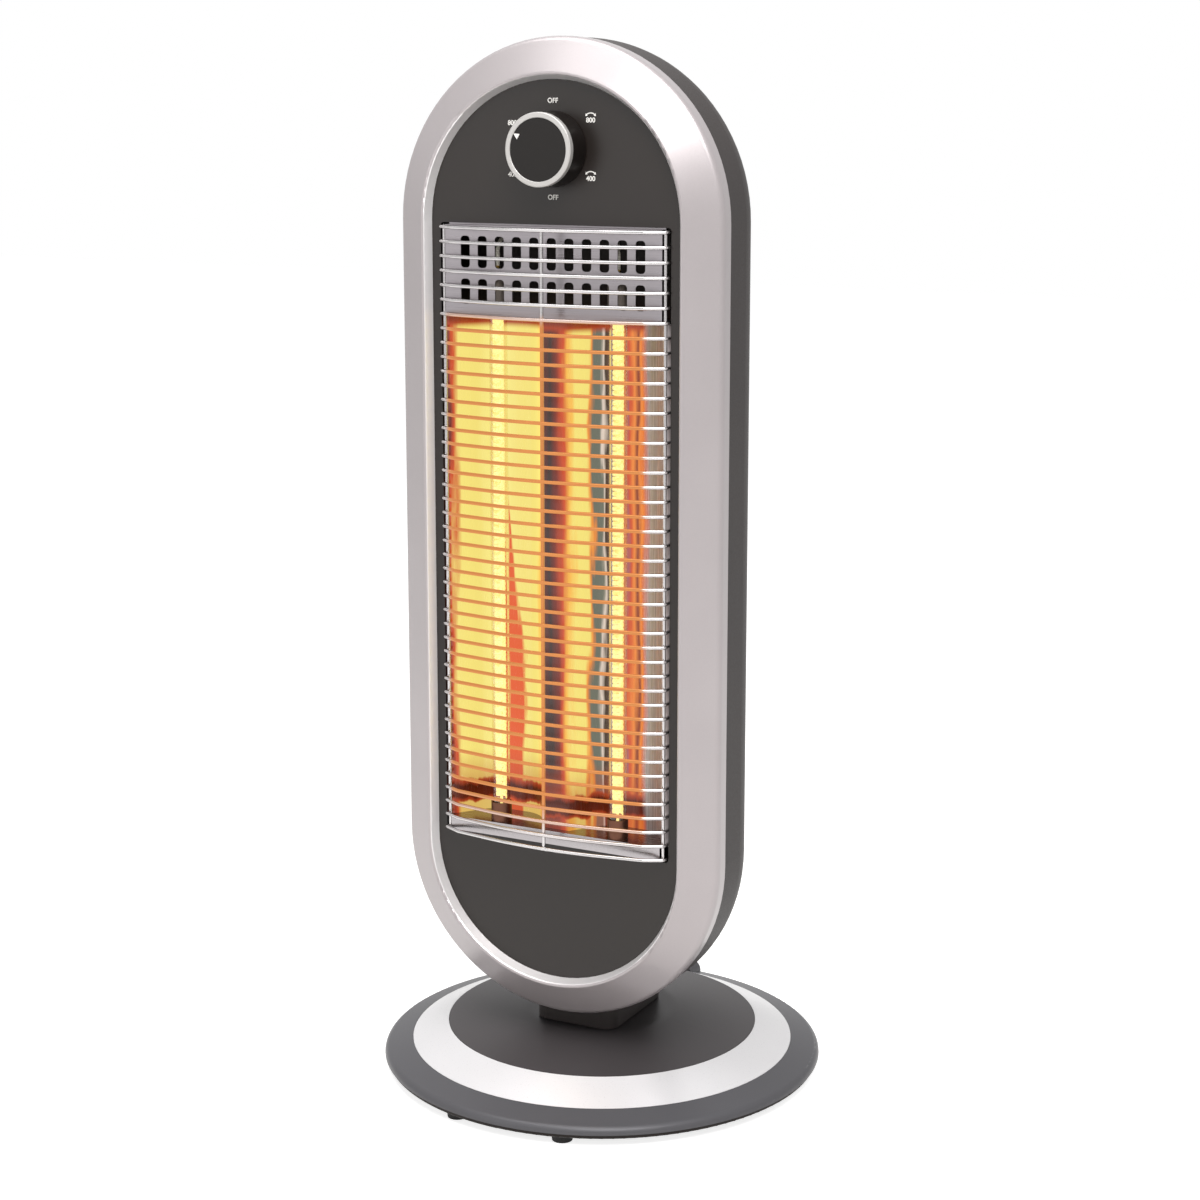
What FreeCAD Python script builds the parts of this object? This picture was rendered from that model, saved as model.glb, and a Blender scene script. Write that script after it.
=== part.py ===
"""Carbon heater: a swinging head with two quartz tubes on a round base. Millimetres, +Z up, front to -Y."""
import FreeCAD, Part
import math
import os
import re
import Sketcher

Vector = FreeCAD.Vector
doc = FreeCAD.newDocument("carbon_heater")

# Driving sizes. Lengths are in millimetres and angles in degrees.
SIZES = {
    # Head outline: a tall shape with round ends, seen from the front.
    "head_radius": 107.8,
    "head_span": 382,
    "head_lift": 51,
    # Front bezel.
    "ridge_reach": 70,
    "ridge_round": 1.6,
    "fascia_radius": 83,
    "fascia_sink": 7.2,
    "fascia_tuck": 4,
    "fascia_thickness": 2.5,
    "bezel_lip": 2.8,
    "bezel_drop": 12.5,
    "bezel_depth": 22,
    "bezel_round": 5,
    "bezel_wall": 2.5,
    # Rear shell.
    "shell_step": 0.4,
    "shell_side": 31,
    "shell_shoulder_round": 30,
    "shell_back": 42,
    "back_inset": 35.8,
    "back_round": 14,
    "shell_wall": 2.5,
    "louvre_width": 84,
    "louvre_height": 4.5,
    "louvre_pitch": 10,
    "louvre_count": 9,
    "upper_louvre_margin": 24,
    "lower_louvre_margin": 34,
    "case_screw_inset": 12.5,
    "case_screw_angle": 45,
    "case_boss_radius": 4.5,
    "case_well_radius": 3.6,
    "case_well_floor": 8,
    "case_screw_bite": 9,
    # Fascia window, guard and heating cell.
    "window_width": 154,
    "window_height": 379,
    "window_round": 2,
    "wire_radius": 1.1,
    "wire_pitch": 8.7,
    "wire_count": 44,
    "guard_half_width": 75.6,
    "guard_foot": 3.2,
    "guard_foot_round": 3,
    "guard_shoulder_half": 64,
    "guard_reach": 9.2,
    "guard_shoulder_round": 10,
    "guard_bow": 11,
    "guard_bow_round": 250,
    "upright_forward": 1,
    "weld_depth": 0.5,
    "sheet_thickness": 0.8,
    "reflector_flange": 81,
    "tube_offset": 40.5,
    "trough_half": 32.5,
    "knee_half": 18.5,
    "knee_depth": 20,
    "floor_half": 10,
    "floor_depth": 24,
    "trough_round": 16,
    "plate_half_width": 72.4,
    "plate_forward": 2.6,
    "vent_height": 55,
    "fold_lip": 9,
    "slot_width": 6.2,
    "slot_round": 2.2,
    "slot_pitch": 11.7,
    "slot_count": 11,
    "upper_slot_height": 19,
    "lower_slot_height": 15,
    "slot_row_gap": 6.6,
    "slot_top_margin": 6.5,
    "sill_height": 8.5,
    "shield_half_width": 76,
    "shield_depth": 36,
    # Quartz tubes.
    "tube_radius": 5.5,
    "tube_wall": 1,
    "cap_wall": 0.9,
    "upper_cap_length": 23,
    "lower_cap_length": 12,
    "cap_end": 3,
    "shelf_hole_gap": 0.4,
    "filament_radius": 3.3,
    "filament_inset": 4,
    "lead_rod_radius": 1,
    "terminal_radius": 1.6,
    "terminal_length": 7,
    "lead_radius": 1.25,
    "lead_run": 14,
    "lead_slack": 6,
    "post_lead_rise": 12,
    "post_lead_depth": 30,
    # Dial, switch and knob.
    "dial_rise": 42.5,
    "switch_width": 32,
    "switch_depth": 20,
    "switch_bush_radius": 4.4,
    "switch_bush_length": 6,
    "switch_bush_gap": 0.2,
    "nut_width": 14,
    "nut_thickness": 2.2,
    "tab_width": 6.3,
    "tab_spread": 10,
    "tab_length": 7,
    "shaft_radius": 3,
    "shaft_clearance": 0.05,
    "shaft_insertion": 16,
    "shaft_end_gap": 1,
    "knob_height": 18.4,
    "knob_gap": 0.8,
    "knob_radius": 22.2,
    "knob_front_radius": 21.6,
    "knob_wall": 1.8,
    "knob_hub_radius": 6,
    "knob_ring_width": 3.2,
    "knob_ring_depth": 3,
    "knob_ring_proud": 0.6,
    "knob_ring_round": 0.8,
    "pointer_angle": 150,
    "pointer_length": 3.6,
    "pointer_half_width": 1.8,
    "pointer_height": 0.4,
    # Cut-out on the back of the reflector.
    "cutout_radius": 8.2,
    "cutout_length": 6.5,
    "cutout_ear": 13,
    "cutout_drop": 60,
    # Base.
    "base_radius": 140,
    "foot_height": 5.5,
    "foot_radius": 7,
    "foot_taper": 0.8,
    "foot_inset": 12.5,
    "foot_pairs": 3,
    "foot_half_angle": 16.5,
    "pan_inset": 1.5,
    "pan_thickness": 2,
    "pan_wall": 2.5,
    "pan_wall_height": 3,
    "rim_height": 3.8,
    "rim_wall": 2.8,
    "rim_round": 4.6,
    "skirt_width": 18,
    "ring_width": 23.3,
    "ring_outer_height": 17.6,
    "ring_inner_height": 28.2,
    "ring_thickness": 1.6,
    "ring_gap": 0.2,
    "plateau_radius": 47,
    "plateau_height": 36,
    "plateau_round": 30,
    "cover_wall": 2.5,
    "recess_wall": 1.5,
    "skirt_wall": 2,
    "weight_inset": 34,
    "weight_width": 18,
    "weight_thickness": 7,
    "tower_inset": 64,
    "tower_radius": 4.5,
    "screw_radius": 1.6,
    "screw_hole_gap": 0.3,
    "screw_head_radius": 3.2,
    "screw_head_height": 2.2,
    "base_screw_bite": 10,
    "base_screw_count": 3,
    # Cord gland at the rear of the base.
    "gland_height": 14,
    "gland_radius": 4.4,
    "gland_bore": 3.4,
    "gland_flange_radius": 5.4,
    "gland_flange_thickness": 2.2,
    "gland_inset": 3,
    "hood_wall": 2.4,
    "hood_length": 14,
    # Swing pivot.
    "post_radius": 10,
    "post_bore": 7,
    "bush_clearance": 0.05,
    "bush_wall": 3,
    "bush_flange_radius": 17.5,
    "bush_flange_thickness": 1.5,
    "boss_wall": 5,
    "boss_depth": 6.5,
    "running_gap": 0.3,
    "collar_radius": 16,
    "collar_thickness": 2,
    "post_top": 84,
    "post_flange_radius": 20,
    "post_flange_thickness": 2,
    "post_screw_circle": 15,
    "post_screw_count": 4,
    "post_screw_turn": 45,
    "post_hole_gap": 0.8,
    "post_tail": 0.6,
    "ring_clip_width": 4.5,
    "ring_clip_thickness": 1.3,
    "arm_thickness": 2.5,
    "arm_hub_width": 15,
    "arm_hub_round": 12.75,
    "arm_tip_width": 9,
    "arm_tip_round": 8.1,
    "arm_end_wall": 3.5,
    "slot_clearance": 1.2,
    "slot_run_in": 7.2,
    # Swing motor and crank.
    "motor_offset": 26,
    "motor_radius": 24.5,
    "motor_height": 13,
    "motor_lid": 1.5,
    "motor_lid_lip": 0.8,
    "ear_span": 30,
    "ear_width": 9,
    "ear_thickness": 1.2,
    "motor_shaft_radius": 3,
    "motor_shaft_depth": 6,
    "crank_throw": 15,
    "crank_gap": 0.6,
    "crank_thickness": 3,
    "crank_half_width": 6,
    "pin_radius": 2.5,
    "pin_proud": 0.5,
    # Neck and the bracket in the head.
    "neck_half_width": 28,
    "neck_front": 40,
    "neck_back": 33,
    "neck_gap": 0.6,
    "neck_top": 100,
    "neck_round": 9,
    "neck_wall": 2.5,
    "bracket_thickness": 2,
    "bracket_half_width": 24,
    "bracket_front": 24,
    "bracket_back": 22,
    "bracket_rise": 66,
    "bracket_screw_x": 14,
    "bracket_screw_low": 26,
    "bracket_screw_pitch": 28,
    "bracket_boss_radius": 4.5,
    "bracket_screw_bite": 9,
    # Tip-over switch and terminal block in the base.
    "tip_x": -50,
    "tip_y": -40,
    "plunger_radius": 3.5,
    "plunger_gap": 0.3,
    "plunger_collar_radius": 6,
    "plunger_collar_thickness": 2,
    "plunger_travel": 6,
    "plunger_overtravel": 1.5,
    "tip_wall": 2.4,
    "tip_roof": 5,
    "block_x": 40,
    "block_y": -35,
    "block_length": 34,
    "block_width": 16,
    "block_height": 12,
    "block_ways": 3,
}

sheet = doc.addObject("Spreadsheet::Sheet", "Sizes")
for row, (alias, number) in enumerate(SIZES.items(), start=1):
    sheet.set(f"A{row}", alias)
    sheet.set(f"B{row}", str(number))
    sheet.setAlias(f"B{row}", alias)
doc.recompute()

# Levels and radii worked out from the sizes, as formulas.
LOWER_CENTRE = "(head_lift + head_radius)"
UPPER_CENTRE = "(head_lift + head_radius + head_span)"
MIDDLE = "(head_lift + head_radius + head_span / 2)"
FASCIA_FRONT = "(fascia_sink - ridge_reach)"
FASCIA_BACK = "(fascia_sink - ridge_reach + fascia_thickness)"
BEZEL_REAR = "(bezel_depth - ridge_reach)"
SHELL_RADIUS = "(head_radius - shell_step)"
SHOULDER = "(bezel_depth - ridge_reach + shell_side)"
BACK_RADIUS = "(head_radius - back_inset)"
SHELL_LEAN = f"atan(({SHELL_RADIUS} - {BACK_RADIUS}) / (shell_back - {SHOULDER}))"
SHOULDER_SHIFT = f"shell_wall * tan({SHELL_LEAN} / 2)"
BACK_SHIFT = f"shell_wall * tan(45 deg - {SHELL_LEAN} / 2)"
WINDOW_TOP = f"({MIDDLE} + window_height / 2)"
WINDOW_BOTTOM = f"({MIDDLE} - window_height / 2)"
PLATE_FRONT = f"({FASCIA_FRONT} - plate_forward)"
VENT_TOP = f"({WINDOW_TOP} - wire_radius)"
VENT_SHELF = f"({VENT_TOP} - vent_height)"
SILL_BOTTOM = f"({WINDOW_BOTTOM} + wire_radius)"
SILL_TOP = f"({SILL_BOTTOM} + sill_height)"
CELL_HEIGHT = f"({VENT_SHELF} - {SILL_TOP})"
CAP_RADIUS = "(tube_radius + cap_wall)"
TUBE_Y = f"({PLATE_FRONT} + sheet_thickness + {CAP_RADIUS} + running_gap)"
TROUGH_BACK = f"({FASCIA_BACK} + floor_depth + sheet_thickness)"
DIAL_HEIGHT = f"({UPPER_CENTRE} + dial_rise)"
KNOB_FRONT = f"({FASCIA_FRONT} - knob_height)"
PAN_RADIUS = "(base_radius - pan_inset)"
FOOT_CIRCLE = "(base_radius - foot_inset)"
RING_OUTER = "(base_radius - skirt_width)"
RING_INNER = f"({RING_OUTER} - ring_width)"
WEIGHT_OUTER = "(base_radius - weight_inset)"
TOWER_CIRCLE = "(base_radius - tower_inset)"
PAN_TOP = "(foot_height + pan_thickness)"
RIM_BOTTOM = "(foot_height + pan_wall_height)"
RIM_TOP = f"({RIM_BOTTOM} + rim_height)"
BUSH_OUTER = "(post_radius + bush_clearance + bush_wall)"
BOSS_BOTTOM = "(plateau_height - boss_depth)"
CLIP_TOP = f"({BOSS_BOTTOM} - running_gap)"
ARM_TOP = f"({CLIP_TOP} - ring_clip_thickness)"
ARM_BOTTOM = f"({ARM_TOP} - arm_thickness)"
COLLAR_BOTTOM = "(plateau_height + bush_flange_thickness + running_gap)"
MOTOR_TOP = f"({PAN_TOP} + motor_height)"
CRANK_BOTTOM = f"({MOTOR_TOP} + crank_gap)"
CRANK_TOP = f"({CRANK_BOTTOM} + crank_thickness)"
NECK_BOTTOM = "(plateau_height + neck_gap)"
CASE_SCREW_RADIUS = "(head_radius - case_screw_inset)"
WELL_FLOOR = f"({BEZEL_REAR} + case_well_floor)"
GLAND_SEAT = "(base_radius - gland_inset)"

# A rounded end stops just short of a half circle, so that a straight stretch is left between its arcs.
NEAR_ROUND = 0.95
# Share of a lead's straight run that each bend may take up.
BEND_SHARE = 0.45

ALIAS = re.compile(r"[a-z]+(?:_[a-z]+)+")
subparts = []


def size(formula):
    """The value of a formula now."""
    return float(sheet.evalExpression(formula))


def bind(thing, name, formula):
    """Tie a property to a formula of named sizes."""
    thing.setExpression(name, ALIAS.sub(r"Sizes.\g<0>", formula))


def keep(thing, label):
    """Name a finished piece and list it for writing."""
    thing.Label = label
    subparts.append(thing)
    return thing


# Plain solids, their unions and their cuts, with bound sizes.

TURNS = {
    "Z": FreeCAD.Rotation(),
    "Y": FreeCAD.Rotation(Vector(1, 0, 0), -90),
    "X": FreeCAD.Rotation(Vector(0, 1, 0), 90),
}


def place(thing, spot, along="Z"):
    """Put a plain solid at a spot given as three formulas, with its own +Z turned along an axis."""
    thing.Placement = FreeCAD.Placement(Vector(), TURNS[along])
    for letter, formula in zip("xyz", spot):
        bind(thing, f"Placement.Base.{letter}", formula)
    return thing


def cylinder(name, radius, length, spot, along="Z"):
    thing = doc.addObject("Part::Cylinder", name)
    bind(thing, "Radius", radius)
    bind(thing, "Height", length)
    return place(thing, spot, along)


def block(name, lengths, spot):
    """A box; the spot is its low corner."""
    thing = doc.addObject("Part::Box", name)
    for side, formula in zip(("Length", "Width", "Height"), lengths):
        bind(thing, side, formula)
    return place(thing, spot)


def group(name, members):
    thing = doc.addObject("Part::Compound", name)
    thing.Links = members
    return thing


def joined(name, members):
    thing = doc.addObject("Part::MultiFuse", name)
    thing.Shapes = members
    thing.Refine = True
    return thing


def cut(name, solid, tool):
    thing = doc.addObject("Part::Cut", name)
    thing.Base = solid
    thing.Tool = tool
    return thing


def shared(name, solid, tool):
    thing = doc.addObject("Part::Common", name)
    thing.Base = solid
    thing.Tool = tool
    return thing


def polar(radius, angle):
    """Formulas for a spot on a circle round +Z; the angle counts from the front, towards +X."""
    return f"({radius}) * sin({angle})", f"-({radius}) * cos({angle})"


def circle_of(radius, count, first="0"):
    """Spots evenly round a circle; the first angle counts from the front, towards +X."""
    return [polar(radius, f"{first} + {number} * 360 / {count}") for number in range(int(size(count)))]


def screw(name, spot, along, head_side, bite, grip):
    """A pan-head screw: its head lies on the + or - side of the spot, its shank through grip and bite."""
    axis = "XYZ".index(along)
    length = f"({grip}) + ({bite})"
    head_spot = list(spot)
    shank_spot = list(spot)
    if head_side == "+":
        shank_spot[axis] = f"{spot[axis]} - ({length})"
    else:
        head_spot[axis] = f"{spot[axis]} - screw_head_height"
    head = cylinder(f"{name}_head", "screw_head_radius", "screw_head_height", head_spot, along)
    shank = cylinder(f"{name}_shank", "screw_radius", length, shank_spot, along)
    return joined(name, [head, shank])


# Places of the screws, as pairs of formulas.
BASE_SCREWS = circle_of(TOWER_CIRCLE, "base_screw_count")
POST_SCREWS = circle_of("post_screw_circle", "post_screw_count", "post_screw_turn")
MOTOR_SCREWS = [(f"{sign} * ear_span", "motor_offset") for sign in ("-1", "1")]
BRACKET_SCREWS = [(f"{sign} * bracket_screw_x", f"post_top + bracket_screw_low + {row} * bracket_screw_pitch")
                  for sign in ("-1", "1") for row in ("0", "1")]
# The case screws sit in six places just inside the head's outline.
CASE_SIDE = f"{CASE_SCREW_RADIUS} * cos(case_screw_angle)"
CASE_RISE = f"{CASE_SCREW_RADIUS} * sin(case_screw_angle)"
CASE_SCREWS = [(f"{side} * {x}", z)
               for side in ("1", "-1")
               for x, z in ((CASE_SIDE, f"{UPPER_CENTRE} + {CASE_RISE}"),
                            (CASE_SCREW_RADIUS, MIDDLE),
                            (CASE_SIDE, f"{LOWER_CENTRE} - {CASE_RISE}"))]


# Outlines whose corners are bound to formulas.

def new_body(name):
    return doc.addObject("PartDesign::Body", name)


def new_sketch(body, plane, name, offset="0"):
    """An empty outline on an origin plane of its body, moved along that plane's normal by a formula."""
    sketch = body.newObject("Sketcher::SketchObject", name)
    origin_plane = [feature for feature in body.Origin.OriginFeatures if feature.Role == plane][0]
    sketch.AttachmentSupport = [(origin_plane, "")]
    sketch.MapMode = "FlatFace"
    bind(sketch, "AttachmentOffset.Base.z", offset)
    return sketch


def hold_spot(sketch, geometry, point, x_formula, y_formula):
    for kind, formula in (("DistanceX", x_formula), ("DistanceY", y_formula)):
        number = sketch.addConstraint(Sketcher.Constraint(kind, geometry, point, size(formula)))
        bind(sketch, f"Constraints[{number}]", formula)


def hold_radius(sketch, geometry, formula):
    number = sketch.addConstraint(Sketcher.Constraint("Radius", geometry, size(formula)))
    bind(sketch, f"Constraints[{number}]", formula)


def draw_circle(sketch, x_formula, y_formula, radius):
    centre = Vector(size(x_formula), size(y_formula), 0)
    number = sketch.addGeometry(Part.Circle(centre, Vector(0, 0, 1), size(radius)), False)
    hold_spot(sketch, number, 3, x_formula, y_formula)
    hold_radius(sketch, number, radius)


def corner_arc(before, corner, after, radius):
    """The arc that rounds a corner, with its first and last points and whether it turns left."""
    arriving = (corner - before).normalize()
    leaving = (after - corner).normalize()
    turn = arriving.getAngle(leaving)
    left = arriving.cross(leaving).z > 0
    reach = radius * math.tan(turn / 2)
    first = corner - arriving * reach
    last = corner + leaving * reach
    inward = Vector(-arriving.y, arriving.x, 0) * (radius if left else -radius)
    centre = first + inward
    start, stop = (first, last) if left else (last, first)
    begin = math.atan2(start.y - centre.y, start.x - centre.x)
    end = math.atan2(stop.y - centre.y, stop.x - centre.x)
    arc = Part.ArcOfCircle(Part.Circle(centre, Vector(0, 0, 1), radius), begin, end)
    return arc, first, last, left


def draw_outline(sketch, corners, closed=True):
    """Straight edges through corners given as (x, y) or (x, y, round) formulas; round corners are arcs."""
    spots = [Vector(size(corner[0]), size(corner[1]), 0) for corner in corners]
    count = len(corners)
    arcs = {}
    for index, corner in enumerate(corners):
        if len(corner) == 3:
            arcs[index] = corner_arc(spots[index - 1], spots[index], spots[(index + 1) % count],
                                     size(corner[2]))
    edges = []
    for index in range(count if closed else count - 1):
        following = (index + 1) % count
        start = arcs[index][2] if index in arcs else spots[index]
        stop = arcs[following][1] if following in arcs else spots[following]
        edges.append(sketch.addGeometry(Part.LineSegment(start, stop), False))
    for index, corner in enumerate(corners):
        inner = closed or 0 < index < count - 1
        if index in arcs:
            arc = sketch.addGeometry(arcs[index][0], False)
            mark = sketch.addGeometry(Part.Point(spots[index]), True)
            first, last = (1, 2) if arcs[index][3] else (2, 1)
            sketch.addConstraint(Sketcher.Constraint("Tangent", edges[index - 1], 2, arc, first))
            sketch.addConstraint(Sketcher.Constraint("Tangent", arc, last, edges[index], 1))
            sketch.addConstraint(Sketcher.Constraint("PointOnObject", mark, 1, edges[index - 1]))
            sketch.addConstraint(Sketcher.Constraint("PointOnObject", mark, 1, edges[index]))
            hold_radius(sketch, arc, corner[2])
            hold_spot(sketch, mark, 1, corner[0], corner[1])
        elif inner:
            sketch.addConstraint(Sketcher.Constraint("Coincident", edges[index - 1], 2, edges[index], 1))
            hold_spot(sketch, edges[index], 1, corner[0], corner[1])
        elif index == 0:
            hold_spot(sketch, edges[0], 1, corner[0], corner[1])
        else:
            hold_spot(sketch, edges[-1], 2, corner[0], corner[1])


def mirrored(corners):
    """The same corners on the other side of x = 0, in reverse order."""
    return [(f"-({corner[0]})",) + tuple(corner[1:]) for corner in reversed(corners)]


def rounded_box(low_x, high_x, low_y, high_y, radius):
    spots = ((low_x, low_y), (high_x, low_y), (high_x, high_y), (low_x, high_y))
    return [spot + (radius,) for spot in spots]


# Solids grown from an outline or cut by one.

def pad(body, sketch, length, reverse=False, both=False):
    feature = body.newObject("PartDesign::Pad", f"{sketch.Name}_pad")
    feature.Profile = sketch
    feature.Reversed = reverse
    if both:
        feature.SideType = "Symmetric"
    bind(feature, "Length", length)
    doc.recompute()
    return feature


def pocket(body, sketch, length, reverse=False):
    """Cut an outline into the body and make sure that it removed something."""
    before = body.Shape.Volume
    feature = body.newObject("PartDesign::Pocket", f"{sketch.Name}_pocket")
    feature.Profile = sketch
    feature.Reversed = reverse
    bind(feature, "Length", length)
    doc.recompute()
    if body.Shape.Volume >= before:
        raise RuntimeError(f"{sketch.Name} cuts nothing")
    return feature


def revolve(body, sketch, angle="360", axis="V_Axis", reverse=False):
    feature = body.newObject("PartDesign::Revolution", f"{sketch.Name}_turned")
    feature.Profile = sketch
    feature.ReferenceAxis = (sketch, [axis])
    feature.Reversed = reverse
    bind(feature, "Angle", angle)
    doc.recompute()
    return feature


def row_of(body, feature, sketch, axis, length, count):
    """Repeat a feature in a straight row."""
    pattern = body.newObject("PartDesign::LinearPattern", f"{feature.Name}_row")
    pattern.Originals = [feature]
    pattern.Direction = (sketch, [axis])
    bind(pattern, "Length", length)
    bind(pattern, "Occurrences", count)
    body.Tip = pattern
    doc.recompute()
    return pattern


def head_outline(name, section, filled):
    """A solid whose section, given as (radius, y) corners, follows the head's outline all round.

    A filled section starts and ends on the axis of the round ends and closes the whole face."""
    body = new_body(name)
    top = new_sketch(body, "XY_Plane", f"{name}_top", UPPER_CENTRE)
    draw_outline(top, section)
    revolve(body, top, "180", reverse=True)
    legs = new_sketch(body, "XY_Plane", f"{name}_legs", LOWER_CENTRE)
    if filled:
        draw_outline(legs, section[1:-1] + mirrored(section[1:-1]))
    else:
        draw_outline(legs, section)
        draw_outline(legs, mirrored(section))
    pad(body, legs, "head_span")
    bottom = new_sketch(body, "XY_Plane", f"{name}_bottom", LOWER_CENTRE)
    draw_outline(bottom, section)
    revolve(body, bottom, "180")
    return body


def case_rods(name, radius, length, start):
    """One rod along +Y at each case screw."""
    return group(name, [cylinder(f"{name}_{number}", radius, length, (x, start, z), "Y")
                        for number, (x, z) in enumerate(CASE_SCREWS)])


def make_front_bezel():
    slope = "atan(bezel_drop / (head_radius - fascia_radius - bezel_lip))"
    ridge = "fascia_radius + bezel_lip"
    skin = [
        ("fascia_radius", FASCIA_FRONT),
        (ridge, "-ridge_reach", "ridge_round"),
        ("head_radius", "bezel_drop - ridge_reach", "bezel_round"),
        ("head_radius", BEZEL_REAR),
    ]
    inside = [
        ("head_radius - bezel_wall", BEZEL_REAR),
        ("head_radius - bezel_wall", f"bezel_drop - ridge_reach + bezel_wall * tan(45 deg - {slope} / 2)",
         "bezel_round - bezel_wall / 2"),
        (f"{ridge} + bezel_wall / 2", f"-ridge_reach + bezel_wall / cos({slope})"),
        (f"{ridge} + bezel_wall / 4", FASCIA_FRONT),
    ]
    ring = head_outline("bezel_ring", skin + inside, filled=False)
    core = head_outline("bezel_core", skin + [("fascia_radius", BEZEL_REAR)], filled=False)
    rods = case_rods("bezel_rods", "case_boss_radius", f"ridge_reach + {BEZEL_REAR}", "-ridge_reach")
    bosses = shared("bezel_bosses", core, rods)
    pilots = case_rods("bezel_pilots", "screw_radius", "case_screw_bite", f"{BEZEL_REAR} - case_screw_bite")
    keep(cut("bezel_drilled", joined("bezel_bossed", [ring, bosses]), pilots), "front_bezel")


def make_rear_shell():
    outside = [
        ("0", "shell_back"),
        (BACK_RADIUS, "shell_back", "back_round"),
        (SHELL_RADIUS, SHOULDER, "shell_shoulder_round"),
        (SHELL_RADIUS, BEZEL_REAR),
    ]
    inside = [
        (f"{SHELL_RADIUS} - shell_wall", BEZEL_REAR),
        (f"{SHELL_RADIUS} - shell_wall", f"{SHOULDER} - {SHOULDER_SHIFT}",
         "shell_shoulder_round - shell_wall"),
        (f"{BACK_RADIUS} - {BACK_SHIFT}", "shell_back - shell_wall", "back_round - shell_wall"),
        ("0", "shell_back - shell_wall"),
    ]
    envelope = head_outline("shell_envelope", outside + [("0", BEZEL_REAR)], filled=True)
    skin = head_outline("shell_skin", outside + inside, filled=True)

    span = "louvre_pitch * (louvre_count - 1)"
    half = "louvre_width / 2"
    for name, lowest in (("upper", f"{UPPER_CENTRE} - upper_louvre_margin - {span}"),
                         ("lower", f"{LOWER_CENTRE} + lower_louvre_margin")):
        louvre = new_sketch(skin, "XZ_Plane", f"{name}_louvre", "-shell_back")
        draw_outline(louvre, rounded_box(f"-{half}", half, f"{lowest} - louvre_height / 2",
                                         f"{lowest} + louvre_height / 2",
                                         f"louvre_height / 2 * {NEAR_ROUND}"))
        opening = pocket(skin, louvre, "shell_wall * 2", reverse=True)
        row_of(skin, opening, louvre, "V_Axis", span, "louvre_count")

    seats = new_sketch(skin, "XZ_Plane", "bracket_seats", "-bracket_back")
    for x, z in BRACKET_SCREWS:
        draw_circle(seats, x, z, "bracket_boss_radius")
    pad(skin, seats, "shell_back - shell_wall / 2 - bracket_back", reverse=True)
    holes = new_sketch(skin, "XZ_Plane", "bracket_pilots", "-bracket_back")
    for x, z in BRACKET_SCREWS:
        draw_circle(holes, x, z, "screw_radius")
    pocket(skin, holes, "bracket_screw_bite")
    passage = new_sketch(skin, "XY_Plane", "post_passage")
    draw_circle(passage, "0", "0", "post_radius + post_hole_gap")
    pocket(skin, passage, LOWER_CENTRE, reverse=True)

    deep = f"shell_back - {BEZEL_REAR}"
    posts = shared("shell_posts", envelope, case_rods("shell_rods", "case_boss_radius", deep, BEZEL_REAR))
    wells = case_rods("shell_wells", "case_well_radius", deep, WELL_FLOOR)
    passages = case_rods("shell_passages", "screw_radius + screw_hole_gap", deep, BEZEL_REAR)
    bored = cut("shell_welled", joined("shell_posted", [skin, posts]), wells)
    keep(cut("shell_drilled", bored, passages), "rear_shell")
    return envelope


def make_case_screws():
    screws = [screw(f"case_screw_{number}", (x, WELL_FLOOR, z), "Y", "+", "case_screw_bite",
                    "case_well_floor")
              for number, (x, z) in enumerate(CASE_SCREWS)]
    keep(group("case_screw_set", screws), "case_screws")


def make_front_fascia():
    edge = "fascia_radius + fascia_tuck"
    plate = [("0", FASCIA_FRONT), (edge, FASCIA_FRONT), (edge, FASCIA_BACK), ("0", FASCIA_BACK)]
    fascia = head_outline("fascia_plate", plate, filled=True)
    front = "ridge_reach - fascia_sink"
    window = new_sketch(fascia, "XZ_Plane", "fascia_window", front)
    draw_outline(window, rounded_box("-window_width / 2", "window_width / 2", WINDOW_BOTTOM, WINDOW_TOP,
                                     "window_round"))
    pocket(fascia, window, "fascia_thickness * 2")
    hole = new_sketch(fascia, "XZ_Plane", "fascia_hole", front)
    draw_circle(hole, "0", DIAL_HEIGHT, "switch_bush_radius + switch_bush_gap")
    pocket(fascia, hole, "fascia_thickness * 2")
    keep(fascia, "front_fascia")


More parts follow.
